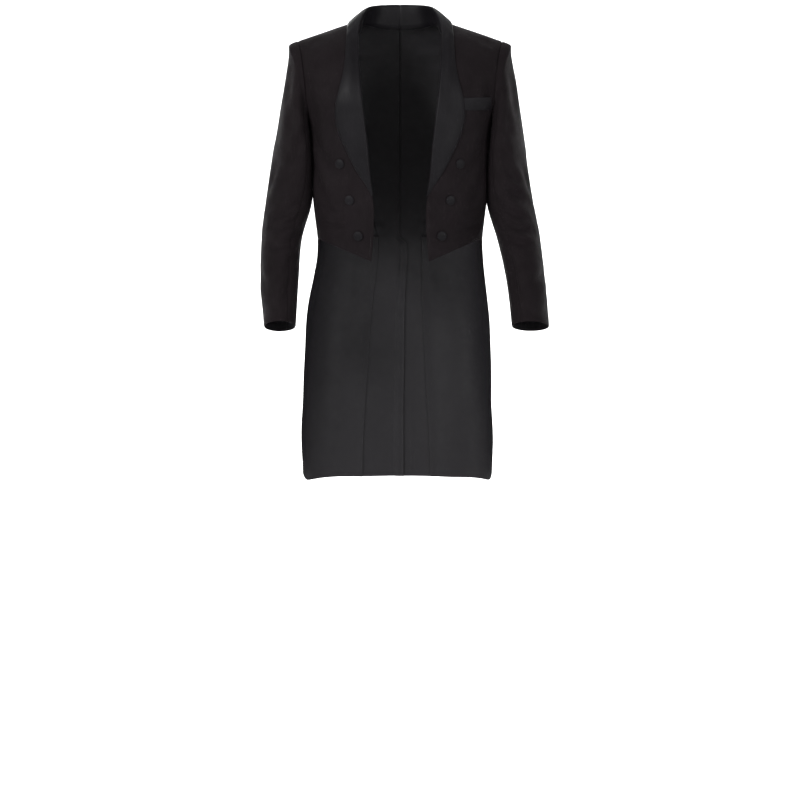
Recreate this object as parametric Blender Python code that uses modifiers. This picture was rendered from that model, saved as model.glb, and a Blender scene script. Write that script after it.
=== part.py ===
"""Evening tailcoat in the hollow, worn form: open cloth shells around an empty figure.

The front faces -Y, up is +Z and the wearer's left is +X. The origin is between the shoulder
seams, at the base of the neck. Lengths below are millimetres and angles are degrees.
"""

import math

import bmesh
import bpy
import numpy as np
from mathutils import Vector

MM = 0.001

# Cloth and seams.
CLOTH = 1.6
SHAWL_CLOTH = 1.6
WELT_CLOTH = 1.0
SEAM_HALF_GAP = 0.5
RIDGE_HALF_GAP = 0.3

# Roundness of every body ring: 1 is an ellipse, less is squarer.
SQUARENESS = 0.85

# Levels run down the body from the shoulder seam, which is level 0. Below this level they are
# plain heights, and above it they bend up towards the sloping shoulder.
LEVEL_BEND_END = 220.0

# The shoulder line is a hyperbola: height at the middle, slope and the bend near the neck.
SHOULDER_HEIGHT = 14.9
SHOULDER_SLOPE = 0.35
SHOULDER_BEND = 45.0

# How far below the shoulder line the front and back reach their full depth, at the neck and at the sleeve.
NECK_X, SHOULDER_X = 82.0, 205.0
FRONT_ROUND_NECK, FRONT_ROUND_SLEEVE = 180.0, 75.0
BACK_ROUND_NECK, BACK_ROUND_SLEEVE = 150.0, 75.0

# Body rings: level, half width, depth in front, depth behind, centre behind the origin.
RINGS = np.array(
    [
        (0, 216.0, 100.0, 104.0, 0.0),
        (60, 216.0, 108.0, 110.0, 0.0),
        (120, 213.0, 116.0, 117.0, 0.0),
        (170, 204.0, 120.0, 121.0, 0.0),
        (200, 193.0, 121.0, 122.0, 0.0),
        (230, 184.5, 121.0, 122.0, 0.0),
        (300, 179.0, 118.0, 116.0, 0.0),
        (378, 173.5, 111.0, 106.0, 0.0),
        (418, 169.0, 107.0, 101.0, 0.0),
        (459, 165.0, 104.0, 99.0, 0.0),
        (500, 167.5, 104.0, 103.0, 2.0),
        (541, 174.0, 104.0, 109.0, 7.0),
        (581, 181.5, 104.0, 112.0, 14.0),
        (623, 187.0, 104.0, 111.0, 22.0),
        (685, 191.5, 104.0, 104.0, 32.0),
        (791, 195.5, 104.0, 92.0, 45.0),
        (876, 200.5, 104.0, 82.0, 54.0),
        (975, 198.5, 104.0, 74.0, 61.0),
    ]
)

# Front edge from the neck to the front point: height, distance from the middle.
FRONT_EDGE = np.array(
    [
        (-17.7, 82.0),
        (-27, 85.5),
        (-45, 88.0),
        (-62, 87.5),
        (-79, 86.0),
        (-119, 83.5),
        (-158, 79.5),
        (-198, 75.0),
        (-237, 71.0),
        (-276, 66.5),
        (-315, 63.5),
        (-350, 59.5),
        (-376, 53.5),
        (-418, 52.0),
        (-460, 54.0),
        (-497, 57.5),
    ]
)

# Where the panels end, as angle round the body at each level: 0 is the middle front, 180 the middle back.
ARMHOLE_FRONT = np.array(
    [(0, 70.1), (35, 64.5), (80, 61.3), (115, 60.8), (155, 63.0), (190, 67.5), (212, 74.0)]
)
ARMHOLE_BACK = np.array([(0, 109.9), (45, 114.0), (90, 116.8), (130, 118.0), (165, 117.0), (180, 115.3)])
ARMHOLE_BOTTOM = np.array(
    [(74.0, 212), (82.0, 224), (90.0, 228), (98.0, 225), (106.0, 215), (111.0, 201), (115.3, 180)]
)
SIDE_FRONT_SEAM = np.array([(212, 74.0), (300, 74.5), (380, 75.0), (470, 75.5)])
SIDE_BACK_SEAM = np.array(
    [(180, 115.3), (215, 125.0), (260, 137.0), (310, 148.5), (360, 157.0), (410, 163.0), (456, 166.5)]
)
TAIL_PLEAT = np.array([(456, 166.5), (600, 165.5), (800, 163.0), (975, 161.0)])
SKIRT_FRONT = np.array(
    [(456, 75.5), (480, 79.5), (510, 83.5), (560, 87.5), (623, 89.5), (800, 90.5), (975, 92.5)]
)

# Lower ends.
WAIST = 456.0
WAIST_SEAM_HALF_GAP = 0.3
FRONT_POINT = 497.0
HEM_MIDDLE, HEM_SIDE, HEM_CORNER = 969.0, 971.0, 953.0
VENT_AT_HEM = 1.0

# The tails hang a little to the wearer's right: depth below the origin, how far over.
TAIL_SWAY = np.array([(500, 0.0), (540, -2.0), (581, -5.0), (623, -6.2), (700, -6.6), (800, -8.2), (975, -8.0)])

# Back neckline: level at the middle back.
NECKLINE_DROP = 27.0

# Sleeves: height, centre out from the middle, centre behind the origin, half width, half depth,
# how far the front is turned in towards the body, pitch.
SLEEVE_LEFT = np.array(
    [
        (-243, 217.9, 6.0, 30.0, 78.0, 16.0, 0.0),
        (-300, 218.5, 9.0, 34.6, 75.0, 20.0, 0.0),
        (-378, 225.5, 8.0, 43.4, 70.0, 12.0, 6.0),
        (-459, 242.0, -14.0, 42.8, 64.0, 8.0, 13.0),
        (-538, 255.0, -46.0, 39.5, 59.5, 6.0, 16.0),
        (-628, 262.3, -84.0, 37.8, 54.0, 4.0, 16.0),
    ]
)
SLEEVE_RIGHT = np.array(
    [
        (-243, 217.9, 6.0, 30.0, 78.0, 16.0, 0.0),
        (-300, 221.0, 9.0, 36.4, 75.0, 20.0, 0.0),
        (-378, 230.0, 8.0, 42.9, 70.0, 12.0, 6.0),
        (-459, 240.8, -14.0, 40.0, 65.0, 8.0, 13.0),
        (-538, 244.0, -46.0, 39.0, 60.0, 6.0, 16.0),
        (-628, 241.5, -84.0, 32.3, 57.0, 4.0, 16.0),
    ]
)
# How far the padded sleeve head stands out, and at what share of the cap's height.
CAP_PUFF, CAP_PUFF_AT = 7.2, 0.09
# The sleeve seams and half their gap, as angle round the arm: 0 is the outside, 90 the front, 180 inside.
FOREARM_SEAM, HIND_ARM_SEAM = 118.0, 240.0
ARMHOLE_SEAM_OUT = 0.7
SLEEVE_SEAM_HALF_GAP = 0.8

# Shawl collar, in front: height, outer edge, roll line, as distances from the middle.
LAPEL = np.array(
    [
        (-366, 56.5, 53.0),
        (-358, 61.0, 54.0),
        (-350, 65.0, 55.5),
        (-335, 75.0, 57.5),
        (-321, 84.0, 59.0),
        (-295, 98.0, 61.0),
        (-270, 109.5, 63.0),
        (-237, 123.0, 67.0),
        (-207, 128.0, 70.3),
        (-178, 125.5, 73.5),
        (-158, 120.5, 75.5),
        (-133, 114.0, 78.0),
        (-105, 109.5, 80.3),
        (-78, 107.5, 81.5),
        (-60, 106.5, 82.0),
    ]
)
# Round the neck: outer edge out from the middle, its height, its side of the shoulder line, then the
# top of the fold and the foot of the stand, each as x, y, z.
NECK_FOLD = (
    (105.5, -46, -1, (81.0, -38, -24), (80.0, -33, -44)),
    (104.5, -34, -1, (74.5, -18, -6), (77.0, -15, -34)),
    (103.5, -27.5, -1, (68.5, -6, 2.5), (75.5, -3, -31)),
    (102.5, -24, 0, (63.5, 4, 9), (70.5, 8, -28)),
    (98.5, -27, 1, (58.5, 14.5, 11.8), (66.0, 16.5, -28)),
    (91.0, -33, 1, (53.0, 24, 13.5), (61.0, 24, -28)),
    (70.0, -39, 1, (39.0, 39, 15.5), (47.5, 38.0, -31)),
    (38.0, -43, 1, (20.0, 47.5, 16.5), (25.0, 46.0, -34)),
    (0.4, -44, 1, (0.4, 50, 17.0), (0.4, 49.0, -35)),
)
# How far the shawl's face stands off the forepart's, over it and under it, at the end and above.
SHAWL_END, SHAWL_FULL = -366.0, -315.0
SHAWL_LIFT_END, SHAWL_LIFT = 2.5, 4.4
SHAWL_UNDER_END, SHAWL_UNDER = 3.7, 4.4
SHAWL_FACING = 8.0
SHAWL_FLAT_POINTS, SHAWL_TURN_POINTS = 5, 4

# Breast welt on the wearer's left: ends and heights.
WELT_INNER_X, WELT_OUTER_X = 117.0, 181.0
WELT_TOP, WELT_HEIGHT, WELT_SLANT = -173.5, 25.0, 1.5
WELT_LIFT = 0.85 + WELT_CLOTH

# Buttons, as distance from the middle and height. The back pair is at the waist, above the tail pleats.
BUTTON_RADIUS, BUTTON_DEPTH, BUTTON_BEVEL = 9.5, 3.6, 1.1
BUTTON_SEGMENTS = 14
FRONT_BUTTON_CLEARANCE, BACK_BUTTON_CLEARANCE = 0.6, 0.95
FRONT_BUTTONS = (("upper", 119.0, -303.0), ("middle", 100.0, -375.0), ("lower", 83.0, -446.0))
BACK_BUTTON = (57.0, -447.0)

# Mesh density.
FOREPART_COLUMNS = 8
SIDE_COLUMNS = 5
SKIRT_COLUMNS = 8
BACK_SHOULDER_COLUMNS, BACK_NECK_COLUMNS = 3, 3
# Rows above the armhole's lower end, rows of the tail, and the side body's rows as shares of its height.
FRONT_UPPER_LEVELS = (0, 0.1, 1, 4, 10, 22, 42, 70, 100, 130, 160, 190)
BACK_UPPER_LEVELS = (0, 0.1, 1, 4, 10, 22, 42, 70, 100, 130, 157)
TAIL_LEVELS = (500, 560, 620, 680, 740, 800, 860, 915, HEM_MIDDLE)
SIDE_SHARES = np.array((0.0, 0.13, 0.27, 0.42, 0.57, 0.72, 0.87, 1.0))
SKIRT_LEVELS = (0, 24, 54, 104, 167, 230, 290, 350, 410, 462, 484, 496, 504)
CAP_ROWS = (0.0, 0.05, 0.14, 0.3, 0.5, 0.7, 0.87, 1.0)
ARM_ROWS = 9
TOP_SLEEVE_COLUMNS, UNDER_SLEEVE_COLUMNS = 15, 8
LOOP_SAMPLES = 120
WELT_COLUMNS, WELT_ROWS = 5, 2

WOOL = ("black_wool", (0.012, 0.012, 0.014, 1.0), 0.85)
SATIN = ("black_satin", (0.02, 0.02, 0.023, 1.0), 0.32)


def spline(table, at):
    """Smooth values between the rows of a table, whose first column is the key."""
    keys, values = table[:, 0], table[:, 1:]
    slopes = np.gradient(values, keys, axis=0)
    at = np.asarray(at, dtype=float)
    row = np.clip(np.searchsorted(keys, at) - 1, 0, len(keys) - 2)
    span = keys[row + 1] - keys[row]
    t = np.clip((at - keys[row]) / span, 0, 1)[..., None]
    span = span[..., None]
    result = values[row] * (2 * t**3 - 3 * t**2 + 1) + slopes[row] * span * (t**3 - 2 * t**2 + t)
    result += values[row + 1] * (3 * t**2 - 2 * t**3) + slopes[row + 1] * span * (t**3 - t**2)
    return result


def shoulder_line(x):
    """Height of the shoulder seam at a distance from the middle."""
    return SHOULDER_HEIGHT - SHOULDER_SLOPE * np.hypot(x, SHOULDER_BEND)


def body(theta, level):
    """Outer face of the coat's body, at an angle round it and a level down it."""
    half, front, back, centre = np.moveaxis(spline(RINGS, level), -1, 0)
    sine, cosine = np.sin(np.radians(theta)), np.cos(np.radians(theta))
    x = half * np.abs(sine) ** SQUARENESS
    top = shoulder_line(x)
    z = top * np.clip(1 - level / LEVEL_BEND_END, 0, 1) - level
    across = np.clip((x - NECK_X) / (SHOULDER_X - NECK_X), 0, 1)
    front_round = FRONT_ROUND_NECK + (FRONT_ROUND_SLEEVE - FRONT_ROUND_NECK) * across
    back_round = BACK_ROUND_NECK + (BACK_ROUND_SLEEVE - BACK_ROUND_NECK) * across
    in_front = cosine > 0
    drop = np.clip((top - z) / np.where(in_front, front_round, back_round), 0, 1)
    swell = np.sqrt(1 - (1 - drop) ** 2)
    depth = np.where(in_front, front, back) * np.abs(cosine) ** SQUARENESS * swell
    return np.stack([x, centre - np.sign(cosine) * depth, z], axis=-1)


def level_at(x, z):
    """Level of a height, which depends on the shoulder line above it."""
    z = np.asarray(z, dtype=float)
    top = shoulder_line(np.asarray(x, dtype=float))
    return np.where(z > -LEVEL_BEND_END, (top - z) / (1 + top / LEVEL_BEND_END), -z)


def angle_at(x, level):
    """Angle round the front of the body at a distance from the middle."""
    half = spline(RINGS, level)[..., 0]
    return np.degrees(np.arcsin(np.clip(x / half, 0, 1) ** (1 / SQUARENESS)))


def on_body(x, z, side_of_ridge=-1):
    """Point of the body's face seen at x, z from the front (-1) or the back (1), and its outward normal."""
    level = level_at(x, z)
    theta = angle_at(x, level)
    theta = 180 - theta if side_of_ridge > 0 else theta
    here = body(theta, level)
    along = body(theta + 0.5, level) - body(theta - 0.5, level)
    down = body(theta, level + 1.0) - body(theta, np.maximum(level - 1.0, 0))
    normal = np.cross(down, along)
    return here, normal / np.linalg.norm(normal, axis=-1, keepdims=True)


def front_edge(level):
    """Angle of the forepart's front edge."""
    keys = level_at(FRONT_EDGE[:, 1], FRONT_EDGE[:, 0])
    keys[0] = 0
    return angle_at(spline(np.column_stack([keys, FRONT_EDGE[:, 1]]), level)[..., 0], level)


def joined(upper, lower, level):
    """Value of two tables that meet, the first above and the second below."""
    return np.where(level < upper[-1, 0], spline(upper, level)[..., 0], spline(lower, level)[..., 0])


def side_front(level):
    """Angle where the forepart ends: the armhole, then the seam below it."""
    return joined(ARMHOLE_FRONT, SIDE_FRONT_SEAM, level)


def side_back(level):
    """Angle where the back ends: the armhole, the curved seam, then the tail's pleat."""
    return np.where(
        level < WAIST, joined(ARMHOLE_BACK, SIDE_BACK_SEAM, level), spline(TAIL_PLEAT, level)[..., 0]
    )


def gap_angle(level, seam):
    """Angle of half a seam's gap, no wider at the armhole than below it."""
    half, _, back, _ = np.moveaxis(spline(RINGS, level), -1, 0)
    arc = np.hypot(half * np.cos(np.radians(seam)), back * np.sin(np.radians(seam)))
    return np.degrees(SEAM_HALF_GAP / arc)


def middle_back(level):
    """Angle of the middle-back edge: a seam down to the waist, then a vent that opens a little."""
    half = spline(RINGS, level)[..., 0]
    opening = np.clip((level - WAIST) / (HEM_MIDDLE - WAIST), 0, 1)
    x = SEAM_HALF_GAP + (VENT_AT_HEM - SEAM_HALF_GAP) * opening
    return 180 - np.degrees(np.arcsin((x / half) ** (1 / SQUARENESS)))


def panel(left, right, top, bottom, across, fractions):
    """Points of a panel between two edges, which are functions of the level, from top to bottom."""
    u = np.asarray(across)
    levels = top(u)[None, :] + (bottom(u) - top(u))[None, :] * np.asarray(fractions)[:, None]
    theta = left(levels) * (1 - u) + right(levels) * u
    return body(theta, levels)


def forepart():
    """Front panel, from the shoulder seam to the point below the waist."""
    armhole_end = ARMHOLE_FRONT[-1, 0]
    levels = np.array([*FRONT_UPPER_LEVELS, *(armhole_end + (WAIST - armhole_end) * SIDE_SHARES)])
    points = panel(
        front_edge,
        lambda level: side_front(level) - gap_angle(level, 75),
        lambda u: 0 * u,
        lambda u: FRONT_POINT - (FRONT_POINT - WAIST) * (1 - (1 - u) ** 1.7),
        np.linspace(0, 1, FOREPART_COLUMNS + 1),
        levels / levels[-1],
    )
    return points - (0, RIDGE_HALF_GAP, 0)


def side_body():
    """Panel under the arm, from the armhole to the waist seam."""
    def left(level):
        return side_front(np.maximum(level, ARMHOLE_FRONT[-1, 0])) + gap_angle(level, 75)

    def right(level):
        return side_back(np.maximum(level, ARMHOLE_BACK[-1, 0])) - gap_angle(level, 120)

    def top(u):
        level = np.full_like(u, WAIST)
        for _ in range(30):
            theta = left(level) * (1 - u) + right(level) * u
            level = spline(ARMHOLE_BOTTOM, theta)[..., 0]
        return level

    bottom = WAIST - WAIST_SEAM_HALF_GAP
    across = np.linspace(0, 1, SIDE_COLUMNS + 1)
    return panel(left, right, top, lambda u: 0 * u + bottom, across, SIDE_SHARES)


def back():
    """Half of the back, which runs on below the waist as the middle of the tail."""
    def left(level):
        return side_back(level) + gap_angle(level, 140)

    def neckline(u):
        corner = 180 - angle_at(NECK_X, 0)
        level = np.zeros_like(u)
        for _ in range(30):
            theta = left(level) * (1 - u) + middle_back(level) * u
            level = NECKLINE_DROP * np.clip(1 - ((180 - theta) / (180 - corner)) ** 2, 0, 1)
        return level

    shoulder = float(left(0.0))
    corner = (180 - float(angle_at(NECK_X, 0)) - shoulder) / (float(middle_back(0.0)) - shoulder)
    over_shoulder = np.linspace(0, corner, BACK_SHOULDER_COLUMNS + 1)
    over_neck = np.linspace(corner, 1, BACK_NECK_COLUMNS + 1)[1:]
    across = np.concatenate([over_shoulder, over_neck])
    armhole_end = ARMHOLE_BACK[-1, 0]
    beside_body = armhole_end + (WAIST - armhole_end) * SIDE_SHARES
    levels = np.array([*BACK_UPPER_LEVELS, *beside_body, *TAIL_LEVELS])
    points = panel(left, middle_back, neckline, lambda u: 0 * u + HEM_MIDDLE, across, levels / levels[-1])
    return points + (0, RIDGE_HALF_GAP, 0)


def skirt():
    """Side of the tail, sewn to the waist seam and cut away in front."""
    def left(level):
        return spline(SKIRT_FRONT, level)[..., 0]

    def right(level):
        return side_back(level) - gap_angle(level, 160)

    def bottom(u):
        rounding = np.clip(1 - u / 0.28, 0, 1) ** 2
        return HEM_SIDE + (HEM_MIDDLE - HEM_SIDE) * u - (HEM_SIDE - HEM_CORNER) * rounding

    levels = np.array(SKIRT_LEVELS)
    top = WAIST + WAIST_SEAM_HALF_GAP
    across = np.linspace(0, 1, SKIRT_COLUMNS + 1) ** 1.15
    return panel(left, right, lambda u: 0 * u + top, bottom, across, levels / levels[-1])


def swayed(points, side):
    """Tail points moved over to the wearer's right, for a panel that is mirrored afterwards."""
    shift = spline(TAIL_SWAY, -points[..., 2])[..., 0]
    return points + np.stack([side * shift, 0 * shift, 0 * shift], axis=-1)


def armhole(phi):
    """Armhole loop at an angle round the sleeve: 0 at the shoulder, 90 in front, 180 under the arm."""
    steps = np.linspace(0, 1, LOOP_SAMPLES) ** 2
    front_levels = ARMHOLE_FRONT[-1, 0] * steps
    back_levels = ARMHOLE_BACK[-1, 0] * steps
    front_angles = np.linspace(ARMHOLE_BOTTOM[0, 0], 90, LOOP_SAMPLES // 3)[1:]
    back_angles = np.linspace(ARMHOLE_BOTTOM[-1, 0], 90, LOOP_SAMPLES // 3)[1:]
    halves = (
        (spline(ARMHOLE_FRONT, front_levels)[:, 0], front_levels, front_angles),
        (spline(ARMHOLE_BACK, back_levels)[:, 0], back_levels, back_angles),
    )
    runs = []
    for angles, levels, bottom_angles in halves:
        bottom_levels = spline(ARMHOLE_BOTTOM, bottom_angles)[:, 0]
        run = body(np.concatenate([angles, bottom_angles]), np.concatenate([levels, bottom_levels]))
        length = np.concatenate([[0], np.cumsum(np.linalg.norm(np.diff(run, axis=0), axis=1))])
        runs.append((length / length[-1], run))
    phi = np.mod(phi, 360)
    share = np.where(phi <= 180, phi, 360 - phi) / 180
    found = []
    for key, run in runs:
        found.append(np.stack([np.interp(share, key, run[:, axis]) for axis in range(3)], axis=-1))
    loop = np.where((phi <= 180)[..., None], found[0], found[1])
    return loop + (ARMHOLE_SEAM_OUT, 0, 0)


def arm_ring(pose, phi, height):
    """Sleeve point below the armpit, at an angle round the arm and a centre height."""
    table = pose * (-1, 1, 1, 1, 1, 1, 1)
    out, behind, width, depth, turned, pitch = np.moveaxis(spline(table, -height), -1, 0)
    angle, lean = np.radians(phi), np.radians(pitch)
    x = out + width * np.cos(angle) - turned * np.sin(angle)
    y = behind - depth * np.sin(angle) * np.cos(lean)
    z = height + depth * np.sin(angle) * np.sin(lean)
    return np.stack([x, y, z], axis=-1)


def sleeve(pose, phi):
    """Sleeve points: rows from the armhole down to the cuff, columns round the arm."""
    start = armhole(phi)
    armpit = pose[0, 0]
    end = arm_ring(pose, phi, np.full_like(phi, armpit))
    reach = np.linalg.norm(end - start, axis=-1, keepdims=True)
    upper = ((1 + np.cos(np.radians(phi))) / 2)[:, None]
    forward = np.sin(np.radians(phi))[:, None]
    leave = np.concatenate([0.3 + 0.7 * upper, -0.25 * forward, -(1 - 0.97 * upper)], axis=1)
    leave *= (0.85 - 0.5 * upper) * reach / np.linalg.norm(leave, axis=-1, keepdims=True)
    below = arm_ring(pose, phi, np.full_like(phi, armpit - 6.0))
    arrive = (below - end) / np.linalg.norm(below - end, axis=-1, keepdims=True) * reach
    rows = []
    for t in CAP_ROWS:
        row = start * (2 * t**3 - 3 * t**2 + 1) + leave * (t**3 - 2 * t**2 + t)
        row = row + end * (3 * t**2 - 2 * t**3) + arrive * (t**3 - t**2)
        puff = CAP_PUFF * t / CAP_PUFF_AT * math.exp(1 - t / CAP_PUFF_AT) * (1 - t)
        rows.append(row + puff * upper**2 * (0.97, 0, 0.22))
    for height in np.linspace(armpit, pose[-1, 0], ARM_ROWS + 1)[1:]:
        rows.append(arm_ring(pose, phi, np.full_like(phi, height)))
    return np.array(rows)


def lapel_section(z, outer, roll):
    """Shawl points across the chest: over the forepart, round the roll and under it."""
    lift = np.interp(z, (SHAWL_END, SHAWL_FULL), (SHAWL_LIFT_END, SHAWL_LIFT))
    under = np.interp(z, (SHAWL_END, SHAWL_FULL), (SHAWL_UNDER_END, SHAWL_UNDER))
    turn = (lift + under) / 2
    axis_x = roll + turn
    points = []
    for x in np.linspace(max(outer, axis_x + 0.5), axis_x, SHAWL_FLAT_POINTS):
        here, normal = on_body(x, z)
        points.append(here + normal * lift)
    here, normal = on_body(axis_x, z)
    inward = -np.cross(normal, (0, 0, 1.0))
    inward = inward * np.sign(-inward[0]) / np.linalg.norm(inward)
    centre = here + normal * (lift - turn)
    for angle in np.linspace(0, math.pi, SHAWL_TURN_POINTS + 1)[1:]:
        points.append(centre + normal * turn * math.cos(angle) + inward * turn * math.sin(angle))
    here, normal = on_body(axis_x + SHAWL_FACING, z)
    points.append(here - normal * under)
    return points


def neck_section(outer_x, outer_z, ridge_side, fold, foot):
    """Shawl points round the neck: up the fall, over the fold and down the stand."""
    if ridge_side == 0:
        outer = np.array((outer_x, 0.0, shoulder_line(outer_x) + SHAWL_LIFT))
    else:
        here, normal = on_body(outer_x, outer_z, ridge_side)
        outer = here + normal * SHAWL_LIFT
    fold, foot = np.array(fold, float), np.array(foot, float)
    rise = np.array((0, 0, 1.0))
    outward = (outer - fold) * (1, 1, 0)
    outward /= np.linalg.norm(outward)
    fall = np.linalg.norm(fold - outer)
    first = (outer, outer + (fold - outer) * 0.35 + rise * 0.06 * fall, fold + outward * 0.16 * fall, fold)
    stand = np.linalg.norm(fold - foot)
    second = (fold, fold - outward * 0.12 * stand - rise * 0.03 * stand, foot + rise * 0.4 * stand, foot)
    falls = np.concatenate([np.linspace(0, 0.86, SHAWL_FLAT_POINTS), [0.94, 1.0]])
    stands = np.array([0.1, 0.3, 1.0])
    points = []
    for controls, shares in ((first, falls), (second, stands)):
        a, b, c, d = controls
        for t in shares:
            points.append(a * (1 - t) ** 3 + 3 * b * t * (1 - t) ** 2 + 3 * c * t**2 * (1 - t) + d * t**3)
    return points


def shawl():
    """Half of the shawl collar, from below the chest to the middle back."""
    rows = [lapel_section(*row) for row in LAPEL]
    rows += [neck_section(*row) for row in NECK_FOLD]
    return np.array(rows)[::-1, ::-1]


def welt():
    """Breast welt, laid on the left forepart and run in under the shawl's edge."""
    rows = []
    for v in np.linspace(0, 1, WELT_ROWS + 1):
        row = []
        for u in np.linspace(0, 1, WELT_COLUMNS + 1):
            x = WELT_INNER_X + (WELT_OUTER_X - WELT_INNER_X) * u
            here, normal = on_body(x, WELT_TOP + WELT_SLANT * u - WELT_HEIGHT * v)
            row.append(here - (0, RIDGE_HALF_GAP, 0) + normal * WELT_LIFT)
        rows.append(row)
    return np.array(rows)


def material(name, colour, roughness):
    """Plain material of one name, made once."""
    found = bpy.data.materials.get(name)
    if found:
        return found
    made = bpy.data.materials.new(name)
    made.use_nodes = True
    shader = made.node_tree.nodes["Principled BSDF"]
    shader.inputs["Base Color"].default_value = colour
    shader.inputs["Roughness"].default_value = roughness
    shader.inputs["Metallic"].default_value = 0.0
    return made


def add_object(bm, name, finish, collection):
    """Object of a finished mesh, shaded smooth up to its corners, with its own material."""
    mesh = bpy.data.meshes.new(name)
    bm.to_mesh(mesh)
    bm.free()
    mesh.shade_smooth()
    mesh.set_sharp_from_angle(angle=math.radians(50))
    slot, colour, roughness = finish
    mesh.materials.append(material(f"{name}_{slot}", colour, roughness))
    obj = bpy.data.objects.new(name, mesh)
    collection.objects.link(obj)
    return obj


def add_shell(name, points, side, cloth, finish, collection):
    """Open sheet of rows from top to bottom, given its wall on the inside. Side -1 mirrors it."""
    rows, columns = points.shape[0] - 1, points.shape[1] - 1
    bm = bmesh.new()
    bmesh.ops.create_grid(bm, x_segments=columns, y_segments=rows, size=0.5)
    for vertex in bm.verts:
        column = round((vertex.co.x + 0.5) * columns)
        row = rows - round((vertex.co.y + 0.5) * rows)
        vertex.co = Vector(points[row, column] * (side, 1, 1)) * MM
    if side < 0:
        bmesh.ops.reverse_faces(bm, faces=bm.faces)
    obj = add_object(bm, name, finish, collection)
    wall = obj.modifiers.new("Wall", "SOLIDIFY")
    wall.thickness = cloth * MM
    wall.offset = -1
    return obj


def add_button(name, side, x, z, behind, finish, collection):
    """Covered button, lying on the cloth with its face outwards."""
    here, normal = on_body(x, z, 1 if behind else -1)
    shift = RIDGE_HALF_GAP if behind else -RIDGE_HALF_GAP
    clearance = BACK_BUTTON_CLEARANCE if behind else FRONT_BUTTON_CLEARANCE
    centre = here + (0, shift, 0) + normal * (clearance + BUTTON_DEPTH / 2)
    bm = bmesh.new()
    bmesh.ops.create_cone(
        bm,
        cap_ends=True,
        segments=BUTTON_SEGMENTS,
        radius1=BUTTON_RADIUS * MM,
        radius2=BUTTON_RADIUS * MM,
        depth=BUTTON_DEPTH * MM,
    )
    obj = add_object(bm, name, finish, collection)
    obj.location = Vector(centre * (side, 1, 1)) * MM
    obj.rotation_mode = "QUATERNION"
    obj.rotation_quaternion = Vector(normal * (side, 1, 1)).to_track_quat("Z", "Y")
    rim = obj.modifiers.new("Rim", "BEVEL")
    rim.width = BUTTON_BEVEL * MM
    rim.segments = 1
    rim.limit_method = "ANGLE"
    return obj


def build():
    """Makes every piece of the coat in one collection."""
    for obj in list(bpy.data.objects):
        bpy.data.objects.remove(obj, do_unlink=True)
    coat = bpy.data.collections.new("evening_tailcoat")
    bpy.context.scene.collection.children.link(coat)
    seam = SLEEVE_SEAM_HALF_GAP
    top_angles = np.linspace(FOREARM_SEAM - seam, HIND_ARM_SEAM - 360 + seam, TOP_SLEEVE_COLUMNS + 1)
    under_angles = np.linspace(HIND_ARM_SEAM - seam, FOREARM_SEAM + seam, UNDER_SLEEVE_COLUMNS + 1)
    for side, word, pose in ((1, "left", SLEEVE_LEFT), (-1, "right", SLEEVE_RIGHT)):
        add_shell(f"forepart_{word}", forepart(), side, CLOTH, WOOL, coat)
        add_shell(f"side_body_{word}", side_body(), side, CLOTH, WOOL, coat)
        add_shell(f"back_{word}", swayed(back(), side), side, CLOTH, WOOL, coat)
        add_shell(f"skirt_{word}", swayed(skirt(), side), side, CLOTH, WOOL, coat)
        add_shell(f"top_sleeve_{word}", sleeve(pose, top_angles), side, CLOTH, WOOL, coat)
        add_shell(f"under_sleeve_{word}", sleeve(pose, under_angles), side, CLOTH, WOOL, coat)
        add_shell(f"shawl_{word}", shawl(), side, SHAWL_CLOTH, SATIN, coat)
        for place, x, z in FRONT_BUTTONS:
            add_button(f"button_{place}_{word}", side, x, z, False, SATIN, coat)
        add_button(f"button_back_{word}", side, *BACK_BUTTON, True, SATIN, coat)
    add_shell("breast_welt", welt(), 1, WELT_CLOTH, SATIN, coat)


build()
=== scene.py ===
"""Black evening tailcoat with a satin shawl collar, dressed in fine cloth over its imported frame.

The front faces -Y, up is +Z and the wearer's left is +X. Sizes in the tables are millimetres and
angles are degrees; points become metres when a mesh is made.
"""

import logging
import math
from collections.abc import Callable
from dataclasses import dataclass, field
from enum import Enum

import bpy
import numpy as np
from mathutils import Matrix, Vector

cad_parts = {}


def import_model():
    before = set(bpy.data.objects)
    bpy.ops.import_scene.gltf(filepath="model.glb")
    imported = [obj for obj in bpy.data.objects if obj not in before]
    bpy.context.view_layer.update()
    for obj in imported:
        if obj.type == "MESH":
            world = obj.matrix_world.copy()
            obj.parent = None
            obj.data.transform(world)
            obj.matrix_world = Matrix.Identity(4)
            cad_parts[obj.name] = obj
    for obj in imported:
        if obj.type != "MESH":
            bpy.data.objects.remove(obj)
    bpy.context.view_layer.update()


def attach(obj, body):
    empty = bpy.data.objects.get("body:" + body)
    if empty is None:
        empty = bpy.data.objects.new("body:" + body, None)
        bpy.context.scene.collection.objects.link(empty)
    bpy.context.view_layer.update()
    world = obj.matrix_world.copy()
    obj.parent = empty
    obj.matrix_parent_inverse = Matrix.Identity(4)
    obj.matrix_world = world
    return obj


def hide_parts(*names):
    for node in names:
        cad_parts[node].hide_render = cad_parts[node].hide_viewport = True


MM = 0.001
LOG = logging.getLogger("tailcoat")
Array = np.ndarray


class Side(Enum):
    """Side of the coat, as its wearer has it."""

    LEFT = 1
    RIGHT = -1

    @property
    def word(self) -> str:
        """The side's name as the nodes have it."""
        return self.name.lower()


class Edge(Enum):
    """How an edge of a cloth piece is finished: how deep it dips and how far in that reaches."""

    SEAM = (0.8, 1.9)
    TURNED = (0.6, 1.2)
    TUCKED = (2.6, 11.0)
    PLAIN = (0.0, 1.0)


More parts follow.
